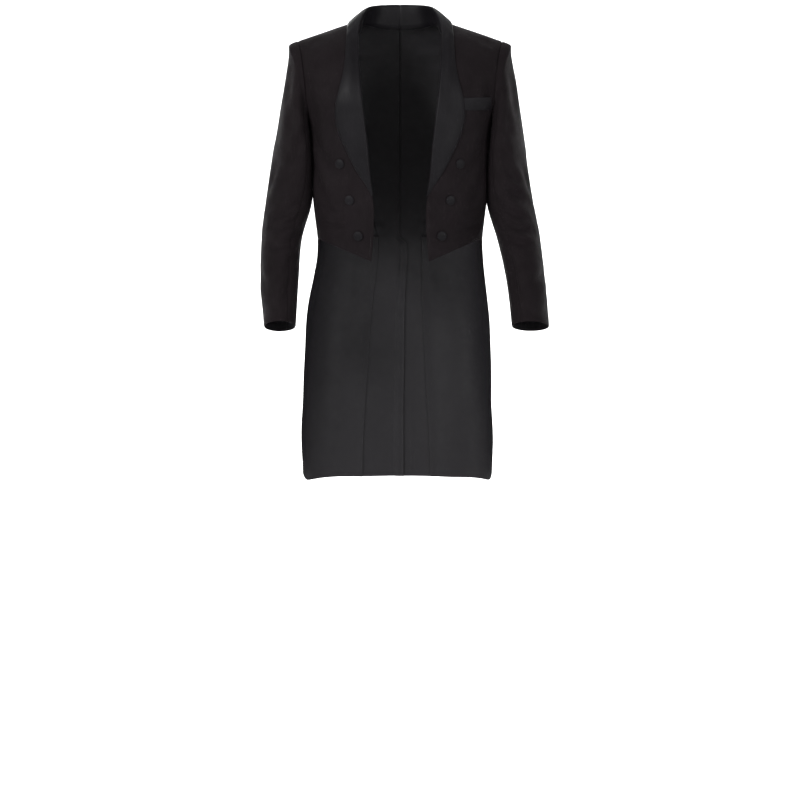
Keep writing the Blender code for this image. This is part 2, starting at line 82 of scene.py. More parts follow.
def table_at(rows: Array, key: Array) -> Array:
    """Smooth values between the rows of a table.

    Args:
        rows: the table, whose first column is the key.
        key: where the values are wanted.

    Returns:
        The other columns at each key, along a last axis.
    """
    keys, values = rows[:, 0], rows[:, 1:]
    slopes = np.gradient(values, keys, axis=0)
    key = np.asarray(key, dtype=float)
    row = np.clip(np.searchsorted(keys, key) - 1, 0, len(keys) - 2)
    span = keys[row + 1] - keys[row]
    t = np.clip((key - keys[row]) / span, 0, 1)[..., None]
    span = span[..., None]
    result = values[row] * (2 * t**3 - 3 * t**2 + 1) + slopes[row] * span * (t**3 - 2 * t**2 + t)
    return result + values[row + 1] * (3 * t**2 - 2 * t**3) + slopes[row + 1] * span * (t**3 - t**2)


def unit(vectors: Array) -> Array:
    """Vectors scaled to length one."""
    return vectors / np.maximum(np.linalg.norm(vectors, axis=-1, keepdims=True), 1e-9)


def rows(*values: tuple[float, ...]) -> Array:
    """A table of rows as an array."""
    return np.array(values, dtype=float)


@dataclass(frozen=True)
class CoatForm:
    """The coat's body as a surface of angle and level, with the lines that its panels end on.

    Angle 0 is the middle front and 180 the middle back. Levels run down from the shoulder seam.
    """

    squareness: float = 0.85
    bend_end: float = 220.0
    shoulder_height: float = 14.9
    shoulder_slope: float = 0.35
    shoulder_bend: float = 45.0
    neck_x: float = 82.0
    shoulder_x: float = 205.0
    front_round: tuple[float, float] = (180.0, 75.0)
    back_round: tuple[float, float] = (150.0, 75.0)
    waist: float = 456.0
    front_point: float = 497.0
    hem_middle: float = 969.0
    hem_side: float = 971.0
    hem_corner: float = 953.0
    vent_underlap: float = 16.0
    neckline_drop: float = 27.0
    seam_lap: float = 0.15
    rings: Array = field(
        default_factory=lambda: rows(
            (0, 216, 100, 104, 0),
            (60, 216, 108, 110, 0),
            (120, 213, 116, 117, 0),
            (170, 204, 120, 121, 0),
            (200, 193, 121, 122, 0),
            (230, 186, 121, 122, 0),
            (300, 180, 118, 116, 0),
            (378, 176.5, 111, 106, 0),
            (418, 172, 107, 101, 0),
            (459, 168, 104, 99, 0),
            (500, 169.5, 104, 103, 2),
            (541, 175, 104, 109, 7),
            (581, 181.5, 104, 112, 14),
            (623, 187, 104, 111, 22),
            (685, 191.5, 104, 104, 32),
            (791, 195.5, 104, 92, 45),
            (876, 200.5, 104, 82, 54),
            (975, 198.5, 104, 74, 61),
        )
    )
    front_line: Array = field(
        default_factory=lambda: rows(
            (-17.7, 82),
            (-27, 85.5),
            (-45, 88),
            (-62, 87.5),
            (-79, 86),
            (-119, 83.5),
            (-158, 79.5),
            (-198, 75),
            (-237, 71),
            (-276, 66.5),
            (-315, 63.5),
            (-350, 59.5),
            (-376, 53.5),
            (-418, 52),
            (-460, 54),
            (-497, 57.5),
        )
    )
    armhole_front: Array = field(
        default_factory=lambda: rows(
            (0, 70.1), (35, 64.5), (80, 61.3), (115, 60.8), (155, 63), (190, 67.5), (212, 74)
        )
    )
    armhole_back: Array = field(
        default_factory=lambda: rows((0, 109.9), (45, 114), (90, 116.8), (130, 118), (165, 117), (180, 115.3))
    )
    armhole_bottom: Array = field(
        default_factory=lambda: rows(
            (74, 212), (82, 224), (90, 228), (98, 225), (106, 215), (111, 201), (115.3, 180)
        )
    )
    side_front_seam: Array = field(default_factory=lambda: rows((212, 74), (300, 74.5), (380, 75), (470, 75.5)))
    side_back_seam: Array = field(
        default_factory=lambda: rows(
            (180, 115.3), (215, 125), (260, 137), (310, 148.5), (360, 157), (410, 163), (456, 166.5)
        )
    )
    tail_pleat: Array = field(default_factory=lambda: rows((456, 166.5), (600, 165.5), (800, 163), (975, 161)))
    skirt_front: Array = field(
        default_factory=lambda: rows(
            (456, 75.5), (480, 79.5), (510, 83.5), (560, 87.5), (623, 89.5), (800, 90.5), (975, 92.5)
        )
    )

    tail_sway: Array = field(
        default_factory=lambda: rows(
            (500, 0), (540, -2), (581, -5), (623, -6.2), (700, -6.6), (800, -8.2), (975, -8)
        )
    )

    def swayed(self, points: Array, side: "Side") -> Array:
        """Tail points moved over to the wearer's right, before the panel is mirrored."""
        shift = table_at(self.tail_sway, -points[..., 2])[..., 0]
        if side is Side.LEFT:
            shift = shift * (1 - 0.6 * np.clip((points[..., 0] - 60) / 110, 0, 1))
        return points + np.stack([side.value * shift, 0 * shift, 0 * shift], axis=-1)

    def shoulder_line(self, x: Array) -> Array:
        """Height of the shoulder seam at a distance from the middle."""
        return self.shoulder_height - self.shoulder_slope * np.hypot(x, self.shoulder_bend)

    def body(self, theta: Array, level: Array) -> Array:
        """Outer face of the coat's body.

        Args:
            theta: angle round the body.
            level: level down the body.

        Returns:
            Points along a last axis, on the wearer's left.
        """
        half, front, back, centre = np.moveaxis(table_at(self.rings, level), -1, 0)
        sine, cosine = np.sin(np.radians(theta)), np.cos(np.radians(theta))
        x = half * np.sign(sine) * np.abs(sine) ** self.squareness
        top = self.shoulder_line(x)
        z = top * np.clip(1 - level / self.bend_end, 0, 1) - level
        across = np.clip((x - self.neck_x) / (self.shoulder_x - self.neck_x), 0, 1)
        front_round = self.front_round[0] + (self.front_round[1] - self.front_round[0]) * across
        back_round = self.back_round[0] + (self.back_round[1] - self.back_round[0]) * across
        in_front = cosine > 0
        drop = np.clip((top - z) / np.where(in_front, front_round, back_round), 0, 1)
        swell = np.sqrt(1 - (1 - drop) ** 2)
        depth = np.where(in_front, front, back) * np.abs(cosine) ** self.squareness * swell
        return np.stack([x, centre - np.sign(cosine) * depth, z], axis=-1)

    def level_at(self, x: Array, z: Array) -> Array:
        """Level of a height, which depends on the shoulder line above it."""
        z = np.asarray(z, dtype=float)
        top = self.shoulder_line(np.asarray(x, dtype=float))
        return np.where(z > -self.bend_end, (top - z) / (1 + top / self.bend_end), -z)

    def angle_at(self, x: Array, level: Array) -> Array:
        """Angle round the front of the body at a distance from the middle."""
        half = table_at(self.rings, level)[..., 0]
        return np.degrees(np.arcsin(np.clip(x / half, 0, 1) ** (1 / self.squareness)))

    def on_body(self, x: Array, z: Array, side_of_ridge: int = -1) -> tuple[Array, Array]:
        """Point of the body's face and its outward normal.

        Args:
            x: distance from the middle.
            z: height.
            side_of_ridge: -1 for the front of the body, 1 for the back.

        Returns:
            The point and the normal.
        """
        level = self.level_at(x, z)
        theta = self.angle_at(x, level)
        theta = 180 - theta if side_of_ridge > 0 else theta
        here = self.body(theta, level)
        along = self.body(theta + 0.5, level) - self.body(theta - 0.5, level)
        down = self.body(theta, level + 1.0) - self.body(theta, np.maximum(level - 1.0, 0))
        return here, unit(np.cross(down, along))

    def settled(self, spots: Array) -> Array:
        """Points moved in or out from the body's axis until they lie on its face."""
        x, y, z = spots[:, 0], spots[:, 1], spots[:, 2]
        level, top = self.level_at(x, z), self.shoulder_line(x)
        half, front, back, centre = np.moveaxis(table_at(self.rings, level), -1, 0)
        across = np.clip((x - self.neck_x) / (self.shoulder_x - self.neck_x), 0, 1)
        rounding = np.where(
            y < centre,
            self.front_round[0] + (self.front_round[1] - self.front_round[0]) * across,
            self.back_round[0] + (self.back_round[1] - self.back_round[0]) * across,
        )
        swell = np.sqrt(1 - (1 - np.clip((top - z) / rounding, 0.02, 1)) ** 2)
        depth = np.where(y < centre, front, back) * swell
        power = 2 / self.squareness
        reach = ((np.abs(x) / half) ** power + (np.abs(y - centre) / depth) ** power) ** (-1 / power)
        return np.stack([x * reach, centre + (y - centre) * reach, z], axis=-1)

    def front_edge(self, level: Array) -> Array:
        """Angle of the forepart's front edge."""
        keys = self.level_at(self.front_line[:, 1], self.front_line[:, 0])
        keys[0] = 0
        x = table_at(np.column_stack([keys, self.front_line[:, 1]]), level)[..., 0]
        return self.angle_at(x, level)

    def side_front(self, level: Array) -> Array:
        """Angle where the forepart ends: the armhole, then the seam below it."""
        upper, lower = self.armhole_front, self.side_front_seam
        return np.where(level < upper[-1, 0], table_at(upper, level)[..., 0], table_at(lower, level)[..., 0])

    def side_back(self, level: Array) -> Array:
        """Angle where the back ends: the armhole, the curved seam, then the tail's pleat."""
        upper, lower = self.armhole_back, self.side_back_seam
        above = np.where(level < upper[-1, 0], table_at(upper, level)[..., 0], table_at(lower, level)[..., 0])
        return np.where(level < self.waist, above, table_at(self.tail_pleat, level)[..., 0])

    def lap_angle(self, level: Array, seam: float, lap: float = 0.0) -> Array:
        """Angle that a panel runs on past a seam near an angle round the body."""
        half, _, back, _ = np.moveaxis(table_at(self.rings, level), -1, 0)
        arc = np.hypot(half * math.cos(math.radians(seam)), back * math.sin(math.radians(seam)))
        return np.degrees((lap or self.seam_lap) / arc)

    def middle_back(self, level: Array, side: "Side") -> Array:
        """Angle of the middle-back edge: a seam to the waist, then a vent whose right side runs under."""
        half = table_at(self.rings, level)[..., 0]
        below = np.clip((level - self.waist) / 14, 0, 1)
        past = self.seam_lap + (self.vent_underlap * below if side is Side.RIGHT else 0 * below)
        return 180 + np.degrees(np.arcsin((past / half) ** (1 / self.squareness)))


@dataclass(frozen=True)
class Crease:
    """A soft trough, or a ridge where its depth is below zero, along a bowed line on the cloth."""

    start: tuple[float, float, float]
    end: tuple[float, float, float]
    width: float
    depth: float
    bow: tuple[float, float, float] = (0.0, 0.0, 0.0)

    def varied(self, key: float) -> "Crease":
        """The same crease as the other side has it: a little shorter, longer, deeper or moved."""
        wave = [math.sin(key * 12.9898 + index * 4.1414 + self.start[2]) for index in range(8)]
        start = tuple(value + 5.0 * wave[index] for index, value in enumerate(self.start))
        end = tuple(value + 6.0 * wave[index + 3] for index, value in enumerate(self.end))
        return Crease(start, end, self.width * (1 + 0.15 * wave[6]), self.depth * (0.95 + 0.3 * wave[7]), self.bow)

    def push(self, points: Array, settled: Callable[[Array], Array]) -> Array:
        """How far the crease moves each point along its outward normal.

        Args:
            points: the cloth's face.
            settled: moves the crease's own points onto that face.

        Returns:
            The push, below zero where the cloth goes in.
        """
        a, b, bow = np.array(self.start), np.array(self.end), np.array(self.bow)
        nearest = np.full(points.shape[:-1], 1e9)
        fade = np.zeros(points.shape[:-1])
        shares = np.linspace(0, 1, 19)
        along = shares[:, None]
        for t, spot in zip(shares, settled(a + (b - a) * along + bow * 4 * along * (1 - along))):
            distance = np.linalg.norm(points - spot, axis=-1)
            closer = distance < nearest
            nearest = np.where(closer, distance, nearest)
            fade = np.where(closer, math.sin(math.pi * min(max(t, 0.04), 0.96)) ** 0.7, fade)
        trough = np.exp(-((nearest / self.width) ** 2))
        shoulders = np.exp(-(((nearest - 1.9 * self.width) / (0.9 * self.width)) ** 2))
        return -self.depth * fade * (trough - 0.35 * shoulders)


@dataclass(frozen=True)
class Finish:
    """Common part of a finish: makes its node material once, by name."""

    name: str

    def material(self) -> bpy.types.Material:
        """The finish's material."""
        found = bpy.data.materials.get(self.name)
        if found:
            return found
        made = bpy.data.materials.new(self.name)
        made.use_nodes = True
        self.dress(made.node_tree, made.node_tree.nodes["Principled BSDF"])
        return made

    def dress(self, tree: bpy.types.NodeTree, shader: bpy.types.Node) -> None:
        """Sets the shader and its textures. Each finish has its own."""
        raise NotImplementedError

    @staticmethod
    def node(tree: bpy.types.NodeTree, kind: str, **inputs: object) -> bpy.types.Node:
        """Adds a node.

        Args:
            tree: the material's nodes.
            kind: the node's Blender type.
            inputs: socket values by name, with underscores for spaces.

        Returns:
            The node.
        """
        made = tree.nodes.new(kind)
        for key, value in inputs.items():
            made.inputs[key.replace("_", " ")].default_value = value
        return made

    def scaled_cloth(self, tree: bpy.types.NodeTree, turn: float) -> bpy.types.Node:
        """Cloth coordinates, in millimetres along the piece's own grain, turned by an angle."""
        place = tree.nodes.new("ShaderNodeTexCoord")
        scaled = self.node(tree, "ShaderNodeMapping", Scale=(1000.0, 1000.0, 1000.0))
        scaled.inputs["Rotation"].default_value = (0.0, 0.0, math.radians(turn))
        tree.links.new(place.outputs["UV"], scaled.inputs["Vector"])
        return scaled

    def blotches(self, tree: bpy.types.NodeTree, scale: float, low: float, high: float) -> bpy.types.Node:
        """Slow variation over the object, mapped between two numbers."""
        place = tree.nodes.new("ShaderNodeTexCoord")
        noise = self.node(tree, "ShaderNodeTexNoise", Scale=scale, Detail=4.0, Roughness=0.6)
        tree.links.new(place.outputs["Object"], noise.inputs["Vector"])
        spread = self.node(tree, "ShaderNodeMapRange", From_Min=0.3, From_Max=0.7, To_Min=low, To_Max=high)
        tree.links.new(noise.outputs["Fac"], spread.inputs["Value"])
        return spread


@dataclass(frozen=True)
class WoolTwill(Finish):
    """Fine black wool barathea: a close diagonal weave with a soft nap."""

    name: str = "wool_twill"
    dark: tuple[float, float, float, float] = (0.0019, 0.0014, 0.0016, 1.0)
    light: tuple[float, float, float, float] = (0.0042, 0.0031, 0.0036, 1.0)
    rib_mm: float = 0.85
    rib_turn: float = 52.0

    def dress(self, tree: bpy.types.NodeTree, shader: bpy.types.Node) -> None:
        """Sets the weave's colour, nap and bump."""
        ribs = self.node(tree, "ShaderNodeTexWave", Scale=math.pi / 10 / self.rib_mm, Distortion=1.2, Detail=2.0)
        tree.links.new(self.scaled_cloth(tree, self.rib_turn).outputs["Vector"], ribs.inputs["Vector"])
        slubs = self.node(tree, "ShaderNodeTexNoise", Scale=2.3, Detail=3.0, Roughness=0.7)
        tree.links.new(self.scaled_cloth(tree, 0).outputs["Vector"], slubs.inputs["Vector"])
        height = self.node(tree, "ShaderNodeMath")
        height.operation = "ADD"
        tree.links.new(ribs.outputs["Fac"], height.inputs[0])
        tree.links.new(slubs.outputs["Fac"], height.inputs[1])
        tone = self.node(tree, "ShaderNodeMapRange", From_Min=0.4, From_Max=1.6, To_Min=0.0, To_Max=0.6)
        tree.links.new(height.outputs[0], tone.inputs["Value"])
        wear = self.blotches(tree, 9.0, 0.0, 0.4)
        share = self.node(tree, "ShaderNodeMath")
        share.operation = "ADD"
        tree.links.new(tone.outputs["Result"], share.inputs[0])
        tree.links.new(wear.outputs["Result"], share.inputs[1])
        mix = tree.nodes.new("ShaderNodeMix")
        mix.data_type = "RGBA"
        mix.inputs["A"].default_value = self.dark
        mix.inputs["B"].default_value = self.light
        tree.links.new(share.outputs[0], mix.inputs["Factor"])
        tree.links.new(mix.outputs["Result"], shader.inputs["Base Color"])
        tree.links.new(self.blotches(tree, 30.0, 0.74, 0.9).outputs["Result"], shader.inputs["Roughness"])
        bump = self.node(tree, "ShaderNodeBump", Strength=0.35, Distance=0.00018)
        tree.links.new(height.outputs[0], bump.inputs["Height"])
        tree.links.new(bump.outputs["Normal"], shader.inputs["Normal"])
        shader.inputs["Specular IOR Level"].default_value = 0.06
        shader.inputs["Specular Tint"].default_value = (1.0, 0.92, 0.96, 1.0)
        shader.inputs["Sheen Weight"].default_value = 0.005
        shader.inputs["Sheen Roughness"].default_value = 0.4
        shader.inputs["Sheen Tint"].default_value = (0.66, 0.6, 0.64, 1.0)


@dataclass(frozen=True)
class SilkSatin(Finish):
    """Black satin facing: smooth floats across the piece, with a broad soft gloss."""

    name: str = "silk_satin"
    dark: tuple[float, float, float, float] = (0.0018, 0.0016, 0.002, 1.0)
    light: tuple[float, float, float, float] = (0.0038, 0.0034, 0.0042, 1.0)
    float_mm: float = 0.34
    gloss: tuple[float, float] = (0.46, 0.58)
    anisotropy: float = 0.45

    def dress(self, tree: bpy.types.NodeTree, shader: bpy.types.Node) -> None:
        """Sets the floats, gloss and slight unevenness."""
        floats = self.node(tree, "ShaderNodeTexWave", Scale=math.pi / 10 / self.float_mm, Distortion=2.5, Detail=2.0)
        tree.links.new(self.scaled_cloth(tree, 90).outputs["Vector"], floats.inputs["Vector"])
        mix = tree.nodes.new("ShaderNodeMix")
        mix.data_type = "RGBA"
        mix.inputs["A"].default_value = self.dark
        mix.inputs["B"].default_value = self.light
        tree.links.new(self.blotches(tree, 14.0, 0.15, 0.85).outputs["Result"], mix.inputs["Factor"])
        tree.links.new(mix.outputs["Result"], shader.inputs["Base Color"])
        tree.links.new(self.blotches(tree, 45.0, *self.gloss).outputs["Result"], shader.inputs["Roughness"])
        bump = self.node(tree, "ShaderNodeBump", Strength=0.2, Distance=0.00006)
        tree.links.new(floats.outputs["Fac"], bump.inputs["Height"])
        tree.links.new(bump.outputs["Normal"], shader.inputs["Normal"])
        shader.inputs["Specular IOR Level"].default_value = 0.056
        shader.inputs["Anisotropic"].default_value = self.anisotropy
        shader.inputs["Sheen Weight"].default_value = 0.008
        shader.inputs["Sheen Roughness"].default_value = 0.3


@dataclass(frozen=True)
class LiningSateen(Finish):
    """Black sateen on the inside of the walls: a finer, flatter gloss."""

    name: str = "lining_sateen"
    colour: tuple[float, float, float, float] = (0.0038, 0.0034, 0.0042, 1.0)

    def dress(self, tree: bpy.types.NodeTree, shader: bpy.types.Node) -> None:
        """Sets the lining's fine warp and its gloss."""
        warp = self.node(tree, "ShaderNodeTexWave", Scale=math.pi / 10 / 0.3, Distortion=1.5, Detail=2.0)
        tree.links.new(self.scaled_cloth(tree, 0).outputs["Vector"], warp.inputs["Vector"])
        shader.inputs["Base Color"].default_value = self.colour
        tree.links.new(self.blotches(tree, 25.0, 0.55, 0.66).outputs["Result"], shader.inputs["Roughness"])
        bump = self.node(tree, "ShaderNodeBump", Strength=0.15, Distance=0.00005)
        tree.links.new(warp.outputs["Fac"], bump.inputs["Height"])
        tree.links.new(bump.outputs["Normal"], shader.inputs["Normal"])
        shader.inputs["Specular IOR Level"].default_value = 0.13


@dataclass(frozen=True)
class SilkThread(Finish):
    """Black silk sewing thread, with its twist."""

    name: str = "silk_thread"
    colour: tuple[float, float, float, float] = (0.009, 0.0085, 0.0095, 1.0)

    def dress(self, tree: bpy.types.NodeTree, shader: bpy.types.Node) -> None:
        """Sets the thread's twist and soft shine."""
        place = tree.nodes.new("ShaderNodeTexCoord")
        twist = self.node(tree, "ShaderNodeTexWave", Scale=900.0, Distortion=1.0)
        tree.links.new(place.outputs["Object"], twist.inputs["Vector"])
        bump = self.node(tree, "ShaderNodeBump", Strength=0.4, Distance=0.00008)
        tree.links.new(twist.outputs["Fac"], bump.inputs["Height"])
        tree.links.new(bump.outputs["Normal"], shader.inputs["Normal"])
        shader.inputs["Base Color"].default_value = self.colour
        shader.inputs["Roughness"].default_value = 0.5


@dataclass(frozen=True)
class PaleFloor(Finish):
    """Plain pale studio floor, with the faintest unevenness."""

    name: str = "pale_floor"
    colour: tuple[float, float, float, float] = (0.92, 0.92, 0.925, 1.0)

    def dress(self, tree: bpy.types.NodeTree, shader: bpy.types.Node) -> None:
        """Sets a matt pale colour."""
        shader.inputs["Base Color"].default_value = self.colour
        tree.links.new(self.blotches(tree, 1.5, 0.7, 0.8).outputs["Result"], shader.inputs["Roughness"])


WOOL, SATIN, LINING, THREAD = WoolTwill(), SilkSatin(), LiningSateen(), SilkThread()


def graded(count: int, edge: float = 0.012) -> Array:
    """Shares from 0 to 1, close together near both ends so that an edge can be rounded.

    Args:
        count: how many even steps there are between the ends.
        edge: share of the first even step's distance from the end.

    Returns:
        The shares.
    """
    fine = np.array([0.0, 0.2, 0.45, 0.75]) * edge
    even = np.linspace(edge * 1.15, 1 - edge * 1.15, count)
    return np.concatenate([fine, even, 1 - fine[::-1]])


@dataclass
class ClothPiece:
    """A cut piece of cloth on the coat's form, folded, given its wall and dressed."""

    form: CoatForm
    side: Side
    wall: float = 1.7
    unevenness: float = 0.45
    finish: Finish = WOOL
    inside: Finish = LINING
    slot: str = "wool"
    held: str = "hung"
    turned: bool = False

    @property
    def node(self) -> str:
        """The frame's node that the piece stands for."""
        raise NotImplementedError

    def surface(self) -> Array:
        """The smooth outer face on the wearer's left, as rows from top to bottom."""
        raise NotImplementedError

    def creases(self) -> list[Crease]:
        """The piece's creases, as the left side has them."""
        return []

    def edges(self) -> tuple[Edge, Edge, Edge, Edge]:
        """The finish of the left, right, top and bottom edge."""
        return Edge.SEAM, Edge.SEAM, Edge.SEAM, Edge.SEAM

    def rests_on(self) -> list[str]:
        """The nodes that the piece hangs from or lies on."""
        return []

    def settled(self, spots: Array) -> Array:
        """Points of a crease, moved onto the piece's smooth face where its kind can do that."""
        return spots

    def extra_push(self, points: Array) -> Array:
        """Any further displacement that the piece has of its own."""
        return np.zeros(points.shape[:-1])

    def ripple(self, points: Array) -> Array:
        """Slow unevenness of the cloth, the same on each side of a seam."""
        x, y, z = points[..., 0] * self.side.value, points[..., 1], points[..., 2]
        wave = np.sin(x / 31 + z / 47) * np.sin(z / 39 - y / 28 + 1.7)
        wave = wave + 0.7 * np.sin(x / 19 - z / 83 + 2.1) * np.sin(y / 23 + z / 57)
        return self.unevenness * wave

    def edge_dip(self, across: Array, down: Array) -> Array:
        """How far the edges dip.

        Args:
            across: distance along each row from its left end.
            down: distance along each column from its top.

        Returns:
            The push, which is below zero at an edge.
        """
        dip = np.zeros(across.shape)
        left, right, top, bottom = self.edges()
        for edge, distance in (
            (left, across),
            (right, across[:, -1:] - across),
            (top, down),
            (bottom, down[-1:, :] - down),
        ):
            depth, reach = edge.value
            dip = np.minimum(dip, -depth * np.exp(-((distance / reach) ** 2)))
        return dip

    @staticmethod
    def run(points: Array, axis: int) -> Array:
        """Distance along the rows (axis 1) or columns (axis 0) of a grid of points."""
        steps = np.linalg.norm(np.diff(points, axis=axis), axis=-1)
        start = np.zeros_like(np.take(steps, [0], axis=axis))
        return np.concatenate([start, np.cumsum(steps, axis=axis)], axis=axis)

    def folded(self, points: Array) -> Array:
        """The face with its creases, edges and unevenness."""
        normal = unit(np.cross(np.gradient(points, axis=1), -np.gradient(points, axis=0)))
        if self.turned:
            normal = -normal
        push = self.edge_dip(self.run(points, 1), self.run(points, 0)) + self.ripple(points) + self.extra_push(points)
        for index, crease in enumerate(self.creases()):
            crease = crease if self.side is Side.LEFT else crease.varied(index + 1.0)
            push = push + crease.push(points, self.settled)
        return points + normal * push[..., None]

    def build(self) -> bpy.types.Object:
        """Returns:
            The piece.
        """
        smooth = self.surface()
        points = self.folded(smooth)
        across, down = self.run(smooth, 1), self.run(smooth, 0)
        count, columns = points.shape[:2]
        mirrored = points * (self.side.value, 1, 1) * MM
        index = np.arange(count * columns).reshape(count, columns)
        faces = np.stack([index[1:, :-1], index[1:, 1:], index[:-1, 1:], index[:-1, :-1]], axis=-1).reshape(-1, 4)
        if (self.side is Side.RIGHT) != self.turned:
            faces = faces[:, ::-1]
        mesh = bpy.data.meshes.new(f"{self.node}_cloth")
        mesh.from_pydata(mirrored.reshape(-1, 3).tolist(), [], faces.tolist())
        grain = mesh.uv_layers.new(name="grain")
        flat = np.stack([across - across[:, -1:] / 2, -down], axis=-1).reshape(-1, 2) * MM
        loops = np.empty(len(mesh.loops), dtype=np.int64)
        mesh.loops.foreach_get("vertex_index", loops)
        grain.data.foreach_set("uv", flat[loops].ravel())
        mesh.shade_smooth()
        mesh.materials.append(self.finish.material())
        mesh.materials.append(self.inside.material())
        piece = bpy.data.objects.new(mesh.name, mesh)
        bpy.context.scene.collection.objects.link(piece)
        wall = piece.modifiers.new("wall", "SOLIDIFY")
        wall.thickness = self.wall * MM
        wall.offset = -1
        wall.material_offset = 1
        wall.use_quality_normals = True
        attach(piece, "root")
        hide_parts(self.node)
        LOG.info("%s: %d quads", piece.name, len(faces))
        return piece


@dataclass
class BodyPanel(ClothPiece):
    """A panel between two lines of the coat's form, which are functions of the level."""

    columns: int = 34
    count: int = 118
    spread: float = 1.7

    def left(self, level: Array) -> Array:
        """Angle of the panel's edge nearer the front."""
        raise NotImplementedError

    def right(self, level: Array) -> Array:
        """Angle of the panel's edge nearer the back."""
        raise NotImplementedError

    def top(self, across: Array) -> Array:
        """Level of the top edge at a share across the panel."""
        raise NotImplementedError

    def bottom(self, across: Array) -> Array:
        """Level of the bottom edge at a share across the panel."""
        raise NotImplementedError

    def surface(self) -> Array:
        """The panel's smooth outer face."""
        across = self.shares_across()
        down = graded(self.count, 0.006) ** self.spread
        top, bottom = self.top(across), self.bottom(across)
        levels = top[None, :] + (bottom - top)[None, :] * down[:, None]
        theta = self.left(levels) * (1 - across) + self.right(levels) * across
        return self.form.body(theta, levels)

    def shares_across(self) -> Array:
        """Where the panel's columns stand."""
        return graded(self.columns, 0.02)

    def settled(self, spots: Array) -> Array:
        """Points of a crease, on the coat's body."""
        return self.form.settled(spots)


BODY_CREASES = [
    Crease((176, -47, -240), (122, -92, -340), 13, 4.2, (4, 0, -6)),
    Crease((172, -46, -292), (134, -78, -400), 12, 3.6, (4, 0, -4)),
    Crease((166, -38, -416), (106, -89, -440), 8.5, 3.2, (0, 0, -5)),
    Crease((168, -42, -386), (124, -83, -410), 8.5, 2.4, (0, 0, -3)),
    Crease((176, -70, -112), (164, -68, -222), 12, 3.2, (-6, 0, 0)),
    Crease((164, -58, -84), (140, -94, -150), 19, 2.6),
    Crease((140, -35, -52), (176, -31, -66), 10, 1.6, (0, 0, -3)),
    Crease((96, -99, -380), (78, -97, -470), 15, 1.8),
    Crease((176, 70, -110), (162, 66, -236), 12, 4.2, (-7, 0, 0)),
    Crease((158, 78, -96), (146, 86, -250), 15, -2.8, (-5, 0, 0)),
    Crease((140, 92, -120), (124, 97, -262), 14, 2.8, (-5, 0, 0)),
    Crease((150, 62, -416), (50, 99, -434), 8.5, 3.6, (0, 0, -6)),
    Crease((158, 52, -384), (68, 99, -402), 8.5, 2.8, (0, 0, -6)),
    Crease((160, 60, -340), (100, 100, -328), 11, 2.4, (0, 0, 5)),
    Crease((100, 75, -72), (20, 96, -80), 11, 2.2, (0, 0, -5)),
    Crease((132, 78, -90), (76, 105, -122), 13, 1.8, (0, 0, -5)),
]


@dataclass
class Forepart(BodyPanel):
    """Front panel, from the shoulder seam to the point below the waist."""

    columns: int = 42

    @property
    def node(self) -> str:
        """The front panel's node."""
        return f"forepart_{self.side.word}"

    def left(self, level: Array) -> Array:
        """The front edge."""
        return self.form.front_edge(level)

    def right(self, level: Array) -> Array:
        """The armhole and the side-front seam."""
        return self.form.side_front(level) + self.form.lap_angle(level, 75)

    def top(self, across: Array) -> Array:
        """The shoulder seam."""
        return 0 * across

    def bottom(self, across: Array) -> Array:
        """The cut-away lower edge, lowest at the front."""
        return self.form.front_point - (self.form.front_point - self.form.waist) * (1 - (1 - across) ** 1.7)

    def creases(self) -> list[Crease]:
        """Drag lines from the armhole and at the waist."""
        return BODY_CREASES

    def edges(self) -> tuple[Edge, Edge, Edge, Edge]:
        """Turned at the front and below, sewn at the side and shoulder."""
        return Edge.TURNED, Edge.SEAM, Edge.SEAM, Edge.TURNED

    def rests_on(self) -> list[str]:
        """It hangs from the back at the shoulder seam."""
        return [f"back_{self.side.word}"]


@dataclass
class SideBody(BodyPanel):
    """Panel under the arm, from the armhole to the waist seam."""

    columns: int = 26
    count: int = 66
    spread: float = 1.0

    @property
    def node(self) -> str:
        """The side panel's node."""
        return f"side_body_{self.side.word}"

    def left(self, level: Array) -> Array:
        """The side-front seam."""
        start = self.form.armhole_front[-1, 0]
        return self.form.side_front(np.maximum(level, start)) - self.form.lap_angle(level, 75)

    def right(self, level: Array) -> Array:
        """The curved side-back seam."""
        start = self.form.armhole_back[-1, 0]
        angle = self.form.side_back(np.clip(level, start, self.form.waist - 0.01))
        return angle + self.form.lap_angle(level, 120)

    def top(self, across: Array) -> Array:
        """The bottom of the armhole."""
        level = np.full_like(across, self.form.waist)
        for _ in range(60):
            theta = self.left(level) * (1 - across) + self.right(level) * across
            level = (level + table_at(self.form.armhole_bottom, theta)[..., 0]) / 2
        return level

    def bottom(self, across: Array) -> Array:
        """The waist seam."""
        return 0 * across + self.form.waist + self.form.seam_lap

    def creases(self) -> list[Crease]:
        """Those of the body."""
        return BODY_CREASES

    def rests_on(self) -> list[str]:
        """It hangs from its neighbours."""
        return [f"forepart_{self.side.word}", f"back_{self.side.word}"]


def tail_flutes(points: Array, side: Side) -> Array:
    """Soft upright flutes of the hanging tails, which grow towards the hem.

    Args:
        points: the cloth's face.
        side: side of the coat, which sets where the flutes fall.

    Returns:
        The push outwards.
    """
    fall = np.clip((-points[..., 2] - 480) / 480, 0, 1) ** 1.3
    turn = np.degrees(np.arctan2(points[..., 0], points[..., 1] - 20))
    shift = 0.0 if side is Side.LEFT else 1.1
    flutes = 3.6 * np.sin(np.radians(turn * 7.3) + shift) + 1.8 * np.sin(np.radians(turn * 13.1) + 0.6 + shift)
    return fall * flutes * np.clip((np.abs(points[..., 0]) - 24) / 30, 0, 1)


